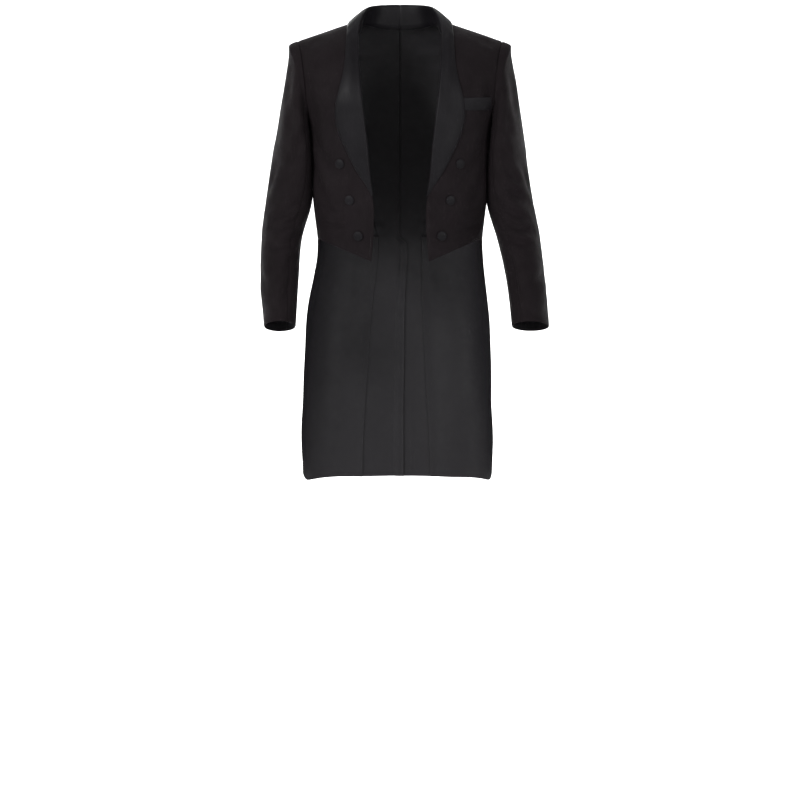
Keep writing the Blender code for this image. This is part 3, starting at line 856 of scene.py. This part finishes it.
@dataclass
class BackAndTail(BodyPanel):
    """Half of the back, which runs on below the waist as the middle of the tail."""

    columns: int = 34
    count: int = 190
    spread: float = 1.5

    @property
    def node(self) -> str:
        """The back's node."""
        return f"back_{self.side.word}"

    def left(self, level: Array) -> Array:
        """The armhole, the side-back seam and the tail's pleat."""
        return self.form.side_back(level) - self.form.lap_angle(level, 140)

    def right(self, level: Array) -> Array:
        """The middle back and the vent."""
        return self.form.middle_back(level, self.side)

    def corner(self) -> float:
        """Share across the top where the shoulder seam meets the neckline."""
        shoulder, middle = float(self.left(np.array(0.0))), float(self.right(np.array(0.0)))
        return (180 - float(self.form.angle_at(self.form.neck_x, 0.0)) - shoulder) / (middle - shoulder)

    def shares_across(self) -> Array:
        """Columns over the shoulder, then over the neck."""
        corner = self.corner()
        even = graded(self.columns, 0.02)
        return np.unique(np.concatenate([even, [corner]]))

    def top(self, across: Array) -> Array:
        """The shoulder seam, then the neckline."""
        neck = 180 - float(self.form.angle_at(self.form.neck_x, 0.0))
        level = np.zeros_like(across)
        for _ in range(40):
            theta = self.left(level) * (1 - across) + self.right(level) * across
            level = self.form.neckline_drop * np.clip(1 - ((180 - theta) / (180 - neck)) ** 2, 0, 1)
        return level

    def bottom(self, across: Array) -> Array:
        """The hem."""
        return 0 * across + self.form.hem_middle

    def creases(self) -> list[Crease]:
        """Those of the body."""
        return BODY_CREASES

    def surface(self) -> Array:
        """The panel's smooth outer face, with the tail's sway."""
        return self.form.swayed(super().surface(), self.side)

    def extra_push(self, points: Array) -> Array:
        """The tail's flutes, and the step down of the vent's underlap."""
        push = tail_flutes(points, self.side)
        if self.side is Side.RIGHT:
            sway = table_at(self.form.tail_sway, -points[..., 2])[..., 0]
            under = np.clip((3.0 - points[..., 0] - sway) / 5.0, 0, 1)
            below = np.clip((-points[..., 2] - self.form.waist - 1) / 12, 0, 1)
            push = push - 2.7 * under**2 * (3 - 2 * under) * below
        return push

    def edges(self) -> tuple[Edge, Edge, Edge, Edge]:
        """Sewn all round, and turned at the hem."""
        return Edge.SEAM, Edge.SEAM, Edge.SEAM, Edge.TURNED


@dataclass
class Skirt(BodyPanel):
    """Side of the tail, sewn to the waist seam and cut away in front."""

    columns: int = 44
    count: int = 110
    spread: float = 1.0

    @property
    def node(self) -> str:
        """The skirt's node."""
        return f"skirt_{self.side.word}"

    def left(self, level: Array) -> Array:
        """The cut-away front edge."""
        return table_at(self.form.skirt_front, level)[..., 0]

    def right(self, level: Array) -> Array:
        """The pleat beside the back."""
        return self.form.side_back(level) + self.form.lap_angle(level, 160, 4.0)

    def top(self, across: Array) -> Array:
        """The waist seam."""
        return 0 * across + self.form.waist - self.form.seam_lap

    def bottom(self, across: Array) -> Array:
        """The hem, with its rounded front corner."""
        rounding = np.clip(1 - across / 0.28, 0, 1) ** 2
        rise = (self.form.hem_middle - self.form.hem_side) * across
        return self.form.hem_side + rise - (self.form.hem_side - self.form.hem_corner) * rounding

    def creases(self) -> list[Crease]:
        """Soft falls from the waist seam and over the hip."""
        return [
            Crease((150, 42, -470), (176, 60, -720), 20, 2.6, (6, 0, 0)),
            Crease((110, 88, -466), (128, 108, -800), 22, -2.2, (4, 0, 0)),
            Crease((162, 10, -475), (182, 38, -640), 16, 1.8, (3, 0, 0)),
            Crease((80, 98, -462), (92, 122, -640), 15, 1.8),
        ]

    def surface(self) -> Array:
        """The panel's smooth outer face, with the tail's sway."""
        return self.form.swayed(super().surface(), self.side)

    def extra_push(self, points: Array) -> Array:
        """The tail's flutes."""
        return tail_flutes(points, self.side)

    def edges(self) -> tuple[Edge, Edge, Edge, Edge]:
        """Turned in front and at the hem, tucked behind the back at the pleat."""
        return Edge.TURNED, Edge.TUCKED, Edge.SEAM, Edge.TURNED

    def rests_on(self) -> list[str]:
        """It hangs from the waist seam."""
        return [f"side_body_{self.side.word}", f"back_{self.side.word}"]


ARM_CREASES = [
    Crease((190, -50, -376), (256, -56, -414), 8.28, 6.5, (0, -4, -6)),
    Crease((196, -56, -404), (266, -54, -436), 8.74, 6.2, (0, -4, -7)),
    Crease((204, -62, -438), (262, -66, -466), 7.82, 4.3, (0, -3, -5)),
    Crease((204, -60, -340), (258, -38, -374), 9.2, 4.9, (0, -4, -6)),
    Crease((202, -62, -296), (246, -44, -344), 10.1, 4.6, (0, -4, -5)),
    Crease((198, -68, -236), (214, -62, -300), 11, 3.8, (0, -3, 0)),
    Crease((206, -62, -170), (222, -62, -262), 12.9, 3.5, (0, -3, 0)),
    Crease((222, -36, -104), (238, -48, -236), 16.6, 3.5, (3, 0, 0)),
    Crease((254, -28, -304), (272, 0, -376), 12, 3.2, (2, 0, -4)),
    Crease((262, 34, -300), (274, 10, -420), 14.7, 3.2),
    Crease((215, 74, -150), (220, 78, -270), 12.9, 4.9, (-3, 3, 0)),
    Crease((240, 66, -130), (250, 76, -290), 14.7, -3.2),
    Crease((196, 60, -300), (246, 82, -330), 11, 3.2, (0, 3, 4)),
    Crease((198, 56, -372), (262, 62, -390), 10.1, 4.9, (0, 4, 6)),
    Crease((204, 46, -408), (270, 48, -424), 9.2, 4.1, (0, 4, 6)),
    Crease((288, -50, -520), (256, -104, -548), 11, 4.1, (0, -3, 0)),
    Crease((294, -76, -590), (246, -124, -592), 9.2, 3, (0, -3, -3)),
    Crease((222, -86, -520), (238, -112, -584), 9.2, 3.5),
    Crease((210, -66, -486), (232, -88, -516), 8.28, 3.2, (0, -3, 3)),
]


class SleevePart(Enum):
    """The two cuts of a sleeve, as angles round the arm: 0 is outside, 90 in front, 180 inside."""

    TOP = (118.0, -120.0)
    UNDER = (240.0, 118.0)


@dataclass
class Sleeve(ClothPiece):
    """One cut of a sleeve, from the armhole to the cuff."""

    part: SleevePart = SleevePart.TOP
    seam: float = -0.2
    seam_out: float = 0.3
    puff: float = 15.0
    puff_at: float = 0.09
    armhole_centre: tuple[float, float, float] = (190.0, 0.0, -130.0)
    samples: int = 240
    cap_rows: int = 34
    arm_rows: int = 92
    poses: dict[Side, Array] = field(
        default_factory=lambda: {
            Side.LEFT: rows(
                (243, 217.4, 6, 32, 78, 16, 0),
                (300, 219.3, 9, 37.4, 75, 20, 0),
                (378, 224.6, 8, 47.9, 70, 12, 6),
                (459, 242, -14, 43.8, 64, 8, 13),
                (538, 255, -46, 39.5, 59.5, 6, 16),
                (628, 262.3, -84, 37.8, 54, 4, 16),
            ),
            Side.RIGHT: rows(
                (243, 217.4, 6, 32, 78, 16, 0),
                (300, 220.6, 9, 38.6, 75, 20, 0),
                (378, 227.2, 8, 47.4, 70, 12, 6),
                (459, 240.8, -14, 41, 65, 8, 13),
                (538, 244, -46, 39, 60, 6, 16),
                (628, 241.5, -84, 32.3, 57, 4, 16),
            ),
        }
    )

    @property
    def node(self) -> str:
        """The sleeve part's node."""
        return f"{self.part.name.lower()}_sleeve_{self.side.word}"

    def armhole(self, phi: Array) -> Array:
        """Armhole loop at an angle round the sleeve."""
        form = self.form
        steps = np.linspace(0, 1, self.samples) ** 2
        found = []
        for table, end in ((form.armhole_front, form.armhole_bottom[0, 0]), (form.armhole_back, form.armhole_bottom[-1, 0])):
            levels = table[-1, 0] * steps
            below = np.linspace(end, 90, self.samples // 3)[1:]
            angles = np.concatenate([table_at(table, levels)[:, 0], below])
            levels = np.concatenate([levels, table_at(form.armhole_bottom, below)[:, 0]])
            run = form.body(angles, levels)
            length = np.concatenate([[0], np.cumsum(np.linalg.norm(np.diff(run, axis=0), axis=1))])
            share = np.where(np.mod(phi, 360) <= 180, np.mod(phi, 360), 360 - np.mod(phi, 360)) / 180
            found.append(np.stack([np.interp(share, length / length[-1], run[:, axis]) for axis in range(3)], axis=-1))
        in_front = (np.mod(phi, 360) <= 180)[..., None]
        return np.where(in_front, found[0], found[1]) + (self.seam_out, 0, 0)

    def ring(self, phi: Array, height: float) -> Array:
        """Points round the arm at a height of its middle."""
        pose = table_at(self.poses[self.side], np.full_like(phi, -height))
        out, behind, width, depth, turned, pitch = np.moveaxis(pose, -1, 0)
        angle, lean = np.radians(phi), np.radians(pitch)
        x = out + width * np.cos(angle) - turned * np.sin(angle)
        y = behind - depth * np.sin(angle) * np.cos(lean)
        return np.stack([x, y, height + depth * np.sin(angle) * np.sin(lean)], axis=-1)

    def settled(self, spots: Array) -> Array:
        """Points of a crease, moved onto the arm's rings below the armpit."""
        pose = self.poses[self.side]
        height = spots[:, 2].copy()
        for _ in range(3):
            out, behind, width, depth, turned, pitch = np.moveaxis(table_at(pose, -height), -1, 0)
            forward = (behind - spots[:, 1]) / depth
            outward = (spots[:, 0] - out + turned * forward) / width
            size = np.maximum(np.hypot(outward, forward), 1e-6)
            rise = depth * forward / size * np.sin(np.radians(pitch))
            height = spots[:, 2] - rise
        forward, outward = forward / size, outward / size
        x = out + width * outward - turned * forward
        y = behind - depth * forward * np.cos(np.radians(pitch))
        return np.where(spots[:, 2:] < -pose[0, 0], np.stack([x, y, height + rise], axis=-1), spots)

    def surface(self) -> Array:
        """The sleeve cap, blended into the rings of the arm."""
        first, last = self.part.value
        share = graded(54 if self.part is SleevePart.TOP else 30, 0.012)
        phi = (first - self.seam) + (last - first + 2 * self.seam) * share
        pose = self.poses[self.side]
        armpit, cuff = -pose[0, 0], -pose[-1, 0]
        start, end = self.armhole(phi), self.ring(phi, armpit)
        reach = np.linalg.norm(end - start, axis=-1, keepdims=True)
        upper = ((1 + np.cos(np.radians(phi))) / 2)[:, None]
        forward = np.sin(np.radians(phi))[:, None]
        leave = unit(np.concatenate([0.3 + 0.7 * upper, -0.25 * forward, -(1 - 0.52 * upper)], axis=1))
        leave = leave * (0.85 - 0.5 * upper) * reach
        arrive = unit(self.ring(phi, armpit - 6.0) - end) * reach
        under = unit((np.array(self.armhole_centre) - start) * (0, 1, 1)) * 2.6
        grid = [start + under + (-3.4, 0, 0), start + under + (-1.6, 0, 0), start + under * 0.75 + (-0.5, 0, 0)]
        cap = np.concatenate([[0.004, 0.01, 0.02, 0.034], np.linspace(0.055, 1, self.cap_rows)])
        for t in cap:
            row = start * (2 * t**3 - 3 * t**2 + 1) + leave * (t**3 - 2 * t**2 + t)
            row = row + end * (3 * t**2 - 2 * t**3) + arrive * (t**3 - t**2)
            puff = self.puff * t / self.puff_at * math.exp(1 - t / self.puff_at) * (1 - t)
            grid.append(row + puff * upper**2 * (0.97, 0, -0.28))
        down = np.concatenate([np.linspace(0, 0.994, self.arm_rows)[1:], [0.9965, 0.9985, 1.0]])
        for height in armpit + (cuff - armpit) * down:
            grid.append(self.ring(phi, height))
        return np.array(grid)

    def creases(self) -> list[Crease]:
        """Elbow, forearm and cap creases."""
        return ARM_CREASES

    def edges(self) -> tuple[Edge, Edge, Edge, Edge]:
        """Sewn along both seams, run in under the armhole, turned at the cuff."""
        return Edge.SEAM, Edge.SEAM, Edge.PLAIN, Edge.TURNED

    def rests_on(self) -> list[str]:
        """It hangs from the armhole."""
        return [f"forepart_{self.side.word}", f"back_{self.side.word}"]


@dataclass
class ShawlCollar(ClothPiece):
    """Half of the satin shawl collar: over the chest, round the roll and round the neck."""

    wall: float = 1.5
    unevenness: float = 0.25
    finish: Finish = SATIN
    inside: Finish = SATIN
    slot: str = "satin"
    held: str = "folded"
    lift: tuple[float, float] = (2.5, 4.4)
    under: tuple[float, float] = (3.7, 4.4)
    lift_reach: tuple[float, float] = (-366.0, -315.0)
    facing: float = 8.0
    flat_points: int = 26
    turn_points: int = 12
    facing_points: int = 4
    count: int = 190
    lapel: Array = field(
        default_factory=lambda: rows(
            (-366, 56.5, 53),
            (-358, 61, 54),
            (-350, 65, 55.5),
            (-335, 75, 57.5),
            (-321, 84, 59),
            (-295, 98, 61),
            (-270, 109.5, 63),
            (-237, 123, 67),
            (-207, 128, 70.3),
            (-178, 125.5, 73.5),
            (-158, 120.5, 75.5),
            (-133, 114, 78),
            (-105, 109.5, 80.3),
            (-78, 107.5, 81.5),
            (-60, 106.5, 82),
        )
    )
    neck: tuple[tuple[float, float, int, tuple[float, float, float], tuple[float, float, float]], ...] = (
        (105.5, -46, -1, (81.0, -38, -24), (80.0, -33, -44)),
        (104.5, -34, -1, (74.5, -18, -6), (77.0, -15, -34)),
        (103.5, -27.5, -1, (68.5, -6, 2.5), (75.5, -3, -31)),
        (102.5, -24, 0, (63.5, 4, 9), (70.5, 8, -28)),
        (98.5, -27, 1, (58.5, 14.5, 11.8), (66.0, 16.5, -28)),
        (91.0, -33, 1, (53.0, 24, 13.5), (61.0, 24, -28)),
        (70.0, -39, 1, (39.0, 39, 15.5), (47.5, 38.0, -31)),
        (38.0, -43, 1, (20.0, 47.5, 16.5), (25.0, 46.0, -34)),
        (-0.1, -44, 1, (-0.1, 50, 17.0), (-0.1, 49.0, -35)),
    )

    @property
    def node(self) -> str:
        """The collar half's node."""
        return f"shawl_{self.side.word}"

    def lapel_section(self, z: float, outer: float, roll: float) -> Array:
        """Points across the chest: over the forepart, round the roll and under it."""
        lift = float(np.interp(z, self.lift_reach, self.lift))
        under = float(np.interp(z, self.lift_reach, self.under))
        turn = (lift + under) / 2
        axis_x = roll + turn
        points = []
        for x in np.linspace(max(outer, axis_x + 0.5), axis_x, self.flat_points):
            here, normal = self.form.on_body(x, z)
            points.append(here + normal * lift)
        here, normal = self.form.on_body(axis_x, z)
        inward = -np.cross(normal, (0, 0, 1.0))
        inward = inward * np.sign(-inward[0]) / np.linalg.norm(inward)
        centre = here + normal * (lift - turn)
        for angle in np.linspace(0, math.pi, self.turn_points + 1)[1:]:
            points.append(centre + normal * turn * math.cos(angle) + inward * turn * math.sin(angle))
        for x in np.linspace(axis_x, axis_x + self.facing, self.facing_points + 1)[1:]:
            here, normal = self.form.on_body(x, z)
            points.append(here - normal * under)
        return np.array(points)

    def neck_section(
        self, outer_x: float, outer_z: float, ridge_side: int, fold: tuple[float, ...], foot: tuple[float, ...]
    ) -> Array:
        """Points round the neck: up the fall, over the fold and down the stand."""
        lift = self.lift[1]
        if ridge_side == 0:
            outer = np.array((outer_x, 0.0, float(self.form.shoulder_line(outer_x)) + lift))
        else:
            here, normal = self.form.on_body(outer_x, outer_z, ridge_side)
            outer = here + normal * lift
        top, low = np.array(fold, float), np.array(foot, float)
        rise = np.array((0, 0, 1.0))
        outward = unit((outer - top) * (1, 1, 0))
        fall, stand = np.linalg.norm(top - outer), np.linalg.norm(top - low)
        first = (outer, outer + (top - outer) * 0.35 + rise * 0.06 * fall, top + outward * 0.16 * fall, top)
        second = (top, top - outward * 0.12 * stand - rise * 0.03 * stand, low + rise * 0.4 * stand, low)
        half = self.turn_points // 2
        falls = np.concatenate([np.linspace(0, 0.86, self.flat_points), np.linspace(0.86, 1, half + 1)[1:]])
        stands = np.concatenate([np.linspace(0, 0.3, half + 1)[1:], np.linspace(0.3, 1, self.facing_points + 1)[1:]])
        points = []
        for (a, b, c, d), shares in ((first, falls), (second, stands)):
            for t in shares:
                points.append(a * (1 - t) ** 3 + 3 * b * t * (1 - t) ** 2 + 3 * c * t**2 * (1 - t) + d * t**3)
        return np.array(points)

    def surface(self) -> Array:
        """Sections joined by smooth lines, from the middle back to below the chest."""
        sections = [self.lapel_section(*row) for row in self.lapel]
        sections += [self.neck_section(*row) for row in self.neck]
        stack = np.array(sections)[::-1]
        middle = stack[:, self.flat_points]
        length = np.concatenate([[0], np.cumsum(np.linalg.norm(np.diff(middle, axis=0), axis=1))])
        wanted = length[-1] * graded(self.count, 0.004)
        flat = np.column_stack([length, stack.reshape(len(stack), -1)])
        return table_at(flat, wanted).reshape(len(wanted), -1, 3)[:, ::-1]

    def extra_push(self, points: Array) -> Array:
        """The satin settles onto the cloth at its outer edge and swells a little over the roll."""
        across = self.run(points, 1)
        from_edge = across[:, -1:] - across
        chest = np.clip((-points[..., 2] - 20) / 60, 0, 1)
        settle = -1.5 * np.exp(-((from_edge / 5.0) ** 2)) * chest
        roll = np.clip((points[..., 2] + 340) / 200, 0, 1) * np.clip((-points[..., 2] - 10) / 50, 0, 1)
        crown = (from_edge / np.maximum(across[:, -1:] - 20, 8)).clip(0, 1)
        return settle + roll * 2.2 * np.sin(math.pi * crown) ** 2

    def creases(self) -> list[Crease]:
        """A slight break below the collar and one above the point where it rolls."""
        return [
            Crease((100, -72, -60), (86, -72, -92), 14, 0.4),
            Crease((118, -112, -226), (84, -118, -300), 16, -0.8),
        ]

    def edges(self) -> tuple[Edge, Edge, Edge, Edge]:
        """Plain where it is hidden, turned at its outer edge, sewn at the middle back."""
        return Edge.PLAIN, Edge.TURNED, Edge.SEAM, Edge.TURNED

    def rests_on(self) -> list[str]:
        """It lies on the forepart and the back."""
        return [f"forepart_{self.side.word}", f"back_{self.side.word}"]


@dataclass
class BreastWelt(ClothPiece):
    """Satin breast welt on the left forepart, run in under the collar's edge."""

    wall: float = 1.2
    unevenness: float = 0.2
    finish: Finish = SATIN
    inside: Finish = SATIN
    slot: str = "satin"
    held: str = "laid"
    inner_x: float = 117.0
    outer_x: float = 181.0
    top_z: float = -173.5
    height: float = 25.0
    slant: float = 1.5
    lift: float = 2.0

    @property
    def node(self) -> str:
        """The welt's node."""
        return "breast_welt"

    def surface(self) -> Array:
        """A band on the forepart's face."""
        grid = []
        for v in graded(14, 0.05):
            row = []
            for u in graded(34, 0.02):
                x = self.inner_x + (self.outer_x - self.inner_x) * u
                here, normal = self.form.on_body(x, self.top_z + self.slant * u - self.height * v)
                row.append(here + normal * self.lift)
            grid.append(row)
        return np.array(grid)

    def edges(self) -> tuple[Edge, Edge, Edge, Edge]:
        """Turned on all four edges."""
        return Edge.TURNED, Edge.TURNED, Edge.TURNED, Edge.TURNED

    def rests_on(self) -> list[str]:
        """It lies on the left forepart."""
        return ["forepart_left"]


@dataclass
class CoveredButton:
    """Domed button covered in satin, turned from a profile."""

    form: CoatForm
    side: Side
    place: str
    x: float
    z: float
    behind: bool = False
    radius: float = 9.5
    depth: float = 3.6
    clearance: float = 0.6
    steps: int = 40

    def profile(self) -> Array:
        """Half section from the middle of the face round the rim to the middle of the back."""
        r, d = self.radius, self.depth
        face = [(r * s, d - 1.3 * s**2.4) for s in np.linspace(0, 0.86, 9)]
        rim = [(r * (0.86 + 0.14 * math.sin(a)), d - 0.91 - 1.1 * (1 - math.cos(a))) for a in np.linspace(0.35, 1.57, 5)]
        back = [(r * 0.99, 0.9), (r * 0.93, 0.25), (r * 0.8, 0.0), (r * 0.4, 0.0), (0.0, 0.0)]
        return np.array(face + rim + back)

    def build(self) -> bpy.types.Object:
        """Makes the button in its place and dresses it.

        Returns:
            The button.
        """
        here, normal = self.form.on_body(self.x, self.z, 1 if self.behind else -1)
        seat = here + normal * self.clearance
        profile = self.profile()
        angles = np.linspace(0, 2 * math.pi, self.steps, endpoint=False)
        axis = Vector(normal * (self.side.value, 1, 1))
        turn = np.array(axis.to_track_quat("Z", "Y").to_matrix())
        gather = 1 + 0.004 * np.sin(angles * 17)[None, :]
        ring = profile[:, :1] * gather
        local = np.stack([ring * np.cos(angles), ring * np.sin(angles), np.broadcast_to(profile[:, 1:], ring.shape)], -1)
        points = (local @ turn.T + seat * (self.side.value, 1, 1)) * MM
        count, around = points.shape[:2]
        index = np.arange(count * around).reshape(count, around)
        ahead = np.roll(index, -1, axis=1)
        faces = np.stack([index[:-1], index[1:], ahead[1:], ahead[:-1]], axis=-1).reshape(-1, 4)
        mesh = bpy.data.meshes.new(f"button_{self.place}_{self.side.word}_covered")
        mesh.from_pydata(points.reshape(-1, 3).tolist(), [], faces.tolist())
        grain = mesh.uv_layers.new(name="grain")
        loops = np.empty(len(mesh.loops), dtype=np.int64)
        mesh.loops.foreach_get("vertex_index", loops)
        grain.data.foreach_set("uv", (local[..., :2].reshape(-1, 2)[loops] * MM).ravel())
        mesh.validate()
        mesh.shade_smooth()
        mesh.materials.append(SATIN.material())
        piece = bpy.data.objects.new(mesh.name, mesh)
        bpy.context.scene.collection.objects.link(piece)
        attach(piece, "root")
        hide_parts(f"button_{self.place}_{self.side.word}")
        LOG.info("%s", piece.name)
        return piece


@dataclass
class StitchRun:
    """A row of fine hand stitches along a line on the coat's front."""

    form: CoatForm
    side: Side
    name: str
    line: list[tuple[float, float]]
    stitch: float = 2.6
    pitch: float = 5.2
    thread: float = 0.42
    lift: float = 0.1

    def build(self) -> bpy.types.Object:
        """Makes the stitches as one mesh.

        Returns:
            The stitches.
        """
        line = np.array(self.line)
        here, normal = zip(*(self.form.on_body(x, z) for x, z in line))
        points, normals = np.array(here), np.array(normal)
        length = np.concatenate([[0], np.cumsum(np.linalg.norm(np.diff(points, axis=0), axis=1))])
        starts = np.arange(self.pitch, length[-1] - self.pitch, self.pitch)
        vertices, faces = [], []
        for start in starts:
            ends = [self.at(length, points, start + shift) for shift in (0.0, self.stitch / 2, self.stitch)]
            up = unit(self.at(length, normals, start))
            along = unit(ends[2] - ends[0])
            aside = np.cross(along, up)
            base = len(vertices)
            for middle, rise, size in zip(ends, (-0.25, self.lift, -0.25), (0.5, 1.0, 0.5)):
                for angle in np.linspace(0, 2 * math.pi, 6, endpoint=False):
                    offset = aside * math.cos(angle) + up * math.sin(angle)
                    vertices.append(middle + up * rise + offset * self.thread / 2 * size)
            for ring in range(2):
                for k in range(6):
                    a, b = base + ring * 6 + k, base + ring * 6 + (k + 1) % 6
                    faces.append((a, b, b + 6, a + 6))
            faces.append(tuple(base + k for k in reversed(range(6))))
            faces.append(tuple(base + 12 + k for k in range(6)))
        mesh = bpy.data.meshes.new(self.name)
        mesh.from_pydata((np.array(vertices) * (self.side.value, 1, 1) * MM).tolist(), [], faces)
        mesh.shade_smooth()
        mesh.materials.append(THREAD.material())
        piece = bpy.data.objects.new(self.name, mesh)
        bpy.context.scene.collection.objects.link(piece)
        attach(piece, "root")
        LOG.info("%s: %d stitches", self.name, len(starts))
        return piece

    @staticmethod
    def at(length: Array, values: Array, where: float) -> Array:
        """Value at a distance along the line."""
        return np.array([np.interp(where, length, values[:, axis]) for axis in range(3)])


@dataclass
class Studio:
    """Pale floor that sweeps up behind, soft lights and the camera."""

    floor_z: float = -1.597
    camera_y: float = -4.2
    camera_z: float = -0.25
    tilt: float = 7.3
    lens: float = 92.46

    def floor(self) -> bpy.types.Object:
        """Makes the floor and the sweep behind it."""
        profile = [(-9.0, 0.0), (3.0, 0.0)]
        profile += [(3.0 + 2.0 * math.sin(a), 2.0 - 2.0 * math.cos(a)) for a in np.linspace(0.1, 1.5, 12)]
        profile += [(5.0, 9.0)]
        vertices = [(x, y, self.floor_z + z) for y, z in profile for x in (-12.0, 12.0)]
        faces = [(2 * k, 2 * k + 1, 2 * k + 3, 2 * k + 2) for k in range(len(profile) - 1)]
        mesh = bpy.data.meshes.new("studio_floor")
        mesh.from_pydata(vertices, [], faces)
        mesh.shade_smooth()
        mesh.materials.append(PaleFloor().material())
        sweep = bpy.data.objects.new("studio_floor", mesh)
        bpy.context.scene.collection.objects.link(sweep)
        return sweep

    def light(
        self, name: str, place: tuple[float, ...], target: tuple[float, ...], size: float, watts: float
    ) -> None:
        """Adds a square soft light aimed at a point."""
        data = bpy.data.lights.new(name, "AREA")
        data.size = size
        data.energy = watts
        lamp = bpy.data.objects.new(name, data)
        lamp.location = place
        lamp.rotation_euler = (Vector(target) - Vector(place)).to_track_quat("-Z", "Y").to_euler()
        bpy.context.scene.collection.objects.link(lamp)

    def build(self) -> None:
        """Makes the whole studio."""
        self.floor()
        self.light("key", (-2.5, -3.0, 1.0), (0, 0, -0.5), 1.1, 235)
        self.light("fill", (2.8, -3.2, 0.2), (0, 0, -0.5), 1.6, 125)
        self.light("back_left", (2.6, 2.8, 0.4), (0, 0, -0.5), 2.0, 40)
        self.light("back_right", (-1.3, 3.8, 1.1), (0, 0, -0.5), 2.0, 140)
        self.light("sweep", (0.0, 2.4, 2.6), (0, 5.0, 0.8), 3.0, 150)
        self.light("floor", (0.0, 1.8, 2.4), (0, 2.4, -1.6), 2.0, 60)
        world = bpy.data.worlds.new("studio")
        world.use_nodes = True
        world.node_tree.nodes["Background"].inputs["Color"].default_value = (1.0, 1.0, 1.0, 1.0)
        world.node_tree.nodes["Background"].inputs["Strength"].default_value = 0.9
        bpy.context.scene.world = world
        bpy.context.scene.view_settings.view_transform = "Standard"
        data = bpy.data.cameras.new("camera")
        data.lens = self.lens
        data.sensor_width = 36.0
        data.clip_end = 60.0
        camera = bpy.data.objects.new("camera", data)
        camera.location = (0.0, self.camera_y, self.camera_z)
        camera.rotation_euler = (math.radians(90 - self.tilt), 0, 0)
        bpy.context.scene.collection.objects.link(camera)
        bpy.context.scene.camera = camera


@dataclass
class Tailcoat:
    """The whole coat: cloth, collar, welt, buttons and stitches."""

    form: CoatForm = field(default_factory=CoatForm)
    front_buttons: tuple[tuple[str, float, float], ...] = (
        ("upper", 119.0, -303.0),
        ("middle", 100.0, -375.0),
        ("lower", 83.0, -446.0),
    )
    back_button: tuple[float, float] = (57.0, -447.0)
    edge_inset: float = 4.5

    def front_edge_line(self) -> list[tuple[float, float]]:
        """Line just inside the front edge, from below the collar to the front point."""
        line = self.form.front_line
        heights = np.linspace(-376, -490, 40)
        return [(float(np.interp(-z, -line[:, 0], line[:, 1])) + self.edge_inset, float(z)) for z in heights]

    def lower_edge_line(self) -> list[tuple[float, float]]:
        """Line just above the forepart's lower edge."""
        form = self.form
        across = np.linspace(0.03, 0.97, 60)
        level = form.front_point - (form.front_point - form.waist) * (1 - (1 - across) ** 1.7) - self.edge_inset
        theta = form.front_edge(level) * (1 - across) + form.side_front(level) * across
        points = form.body(theta, level)
        return [(float(x), float(z)) for x, _, z in points]

    def build(self) -> None:
        """Builds every piece."""
        for side in Side:
            for kind in (BackAndTail, Forepart, SideBody, Skirt):
                kind(self.form, side).build()
            for part in SleevePart:
                Sleeve(self.form, side, part=part).build()
            ShawlCollar(self.form, side, turned=False).build()
            for place, x, z in self.front_buttons:
                CoveredButton(self.form, side, place, x, z).build()
            CoveredButton(self.form, side, "back", *self.back_button, behind=True, clearance=0.9).build()
            StitchRun(self.form, side, f"front_edge_stitches_{side.word}", self.front_edge_line()).build()
            StitchRun(self.form, side, f"lower_edge_stitches_{side.word}", self.lower_edge_line()).build()
        BreastWelt(self.form, Side.LEFT).build()


def main() -> None:
    """Loads the frame, builds the studio and the coat."""
    logging.basicConfig(level=logging.INFO, format="%(name)s: %(message)s")
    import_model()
    Studio().build()
    Tailcoat().build()


if __name__ == "__main__":
    main()
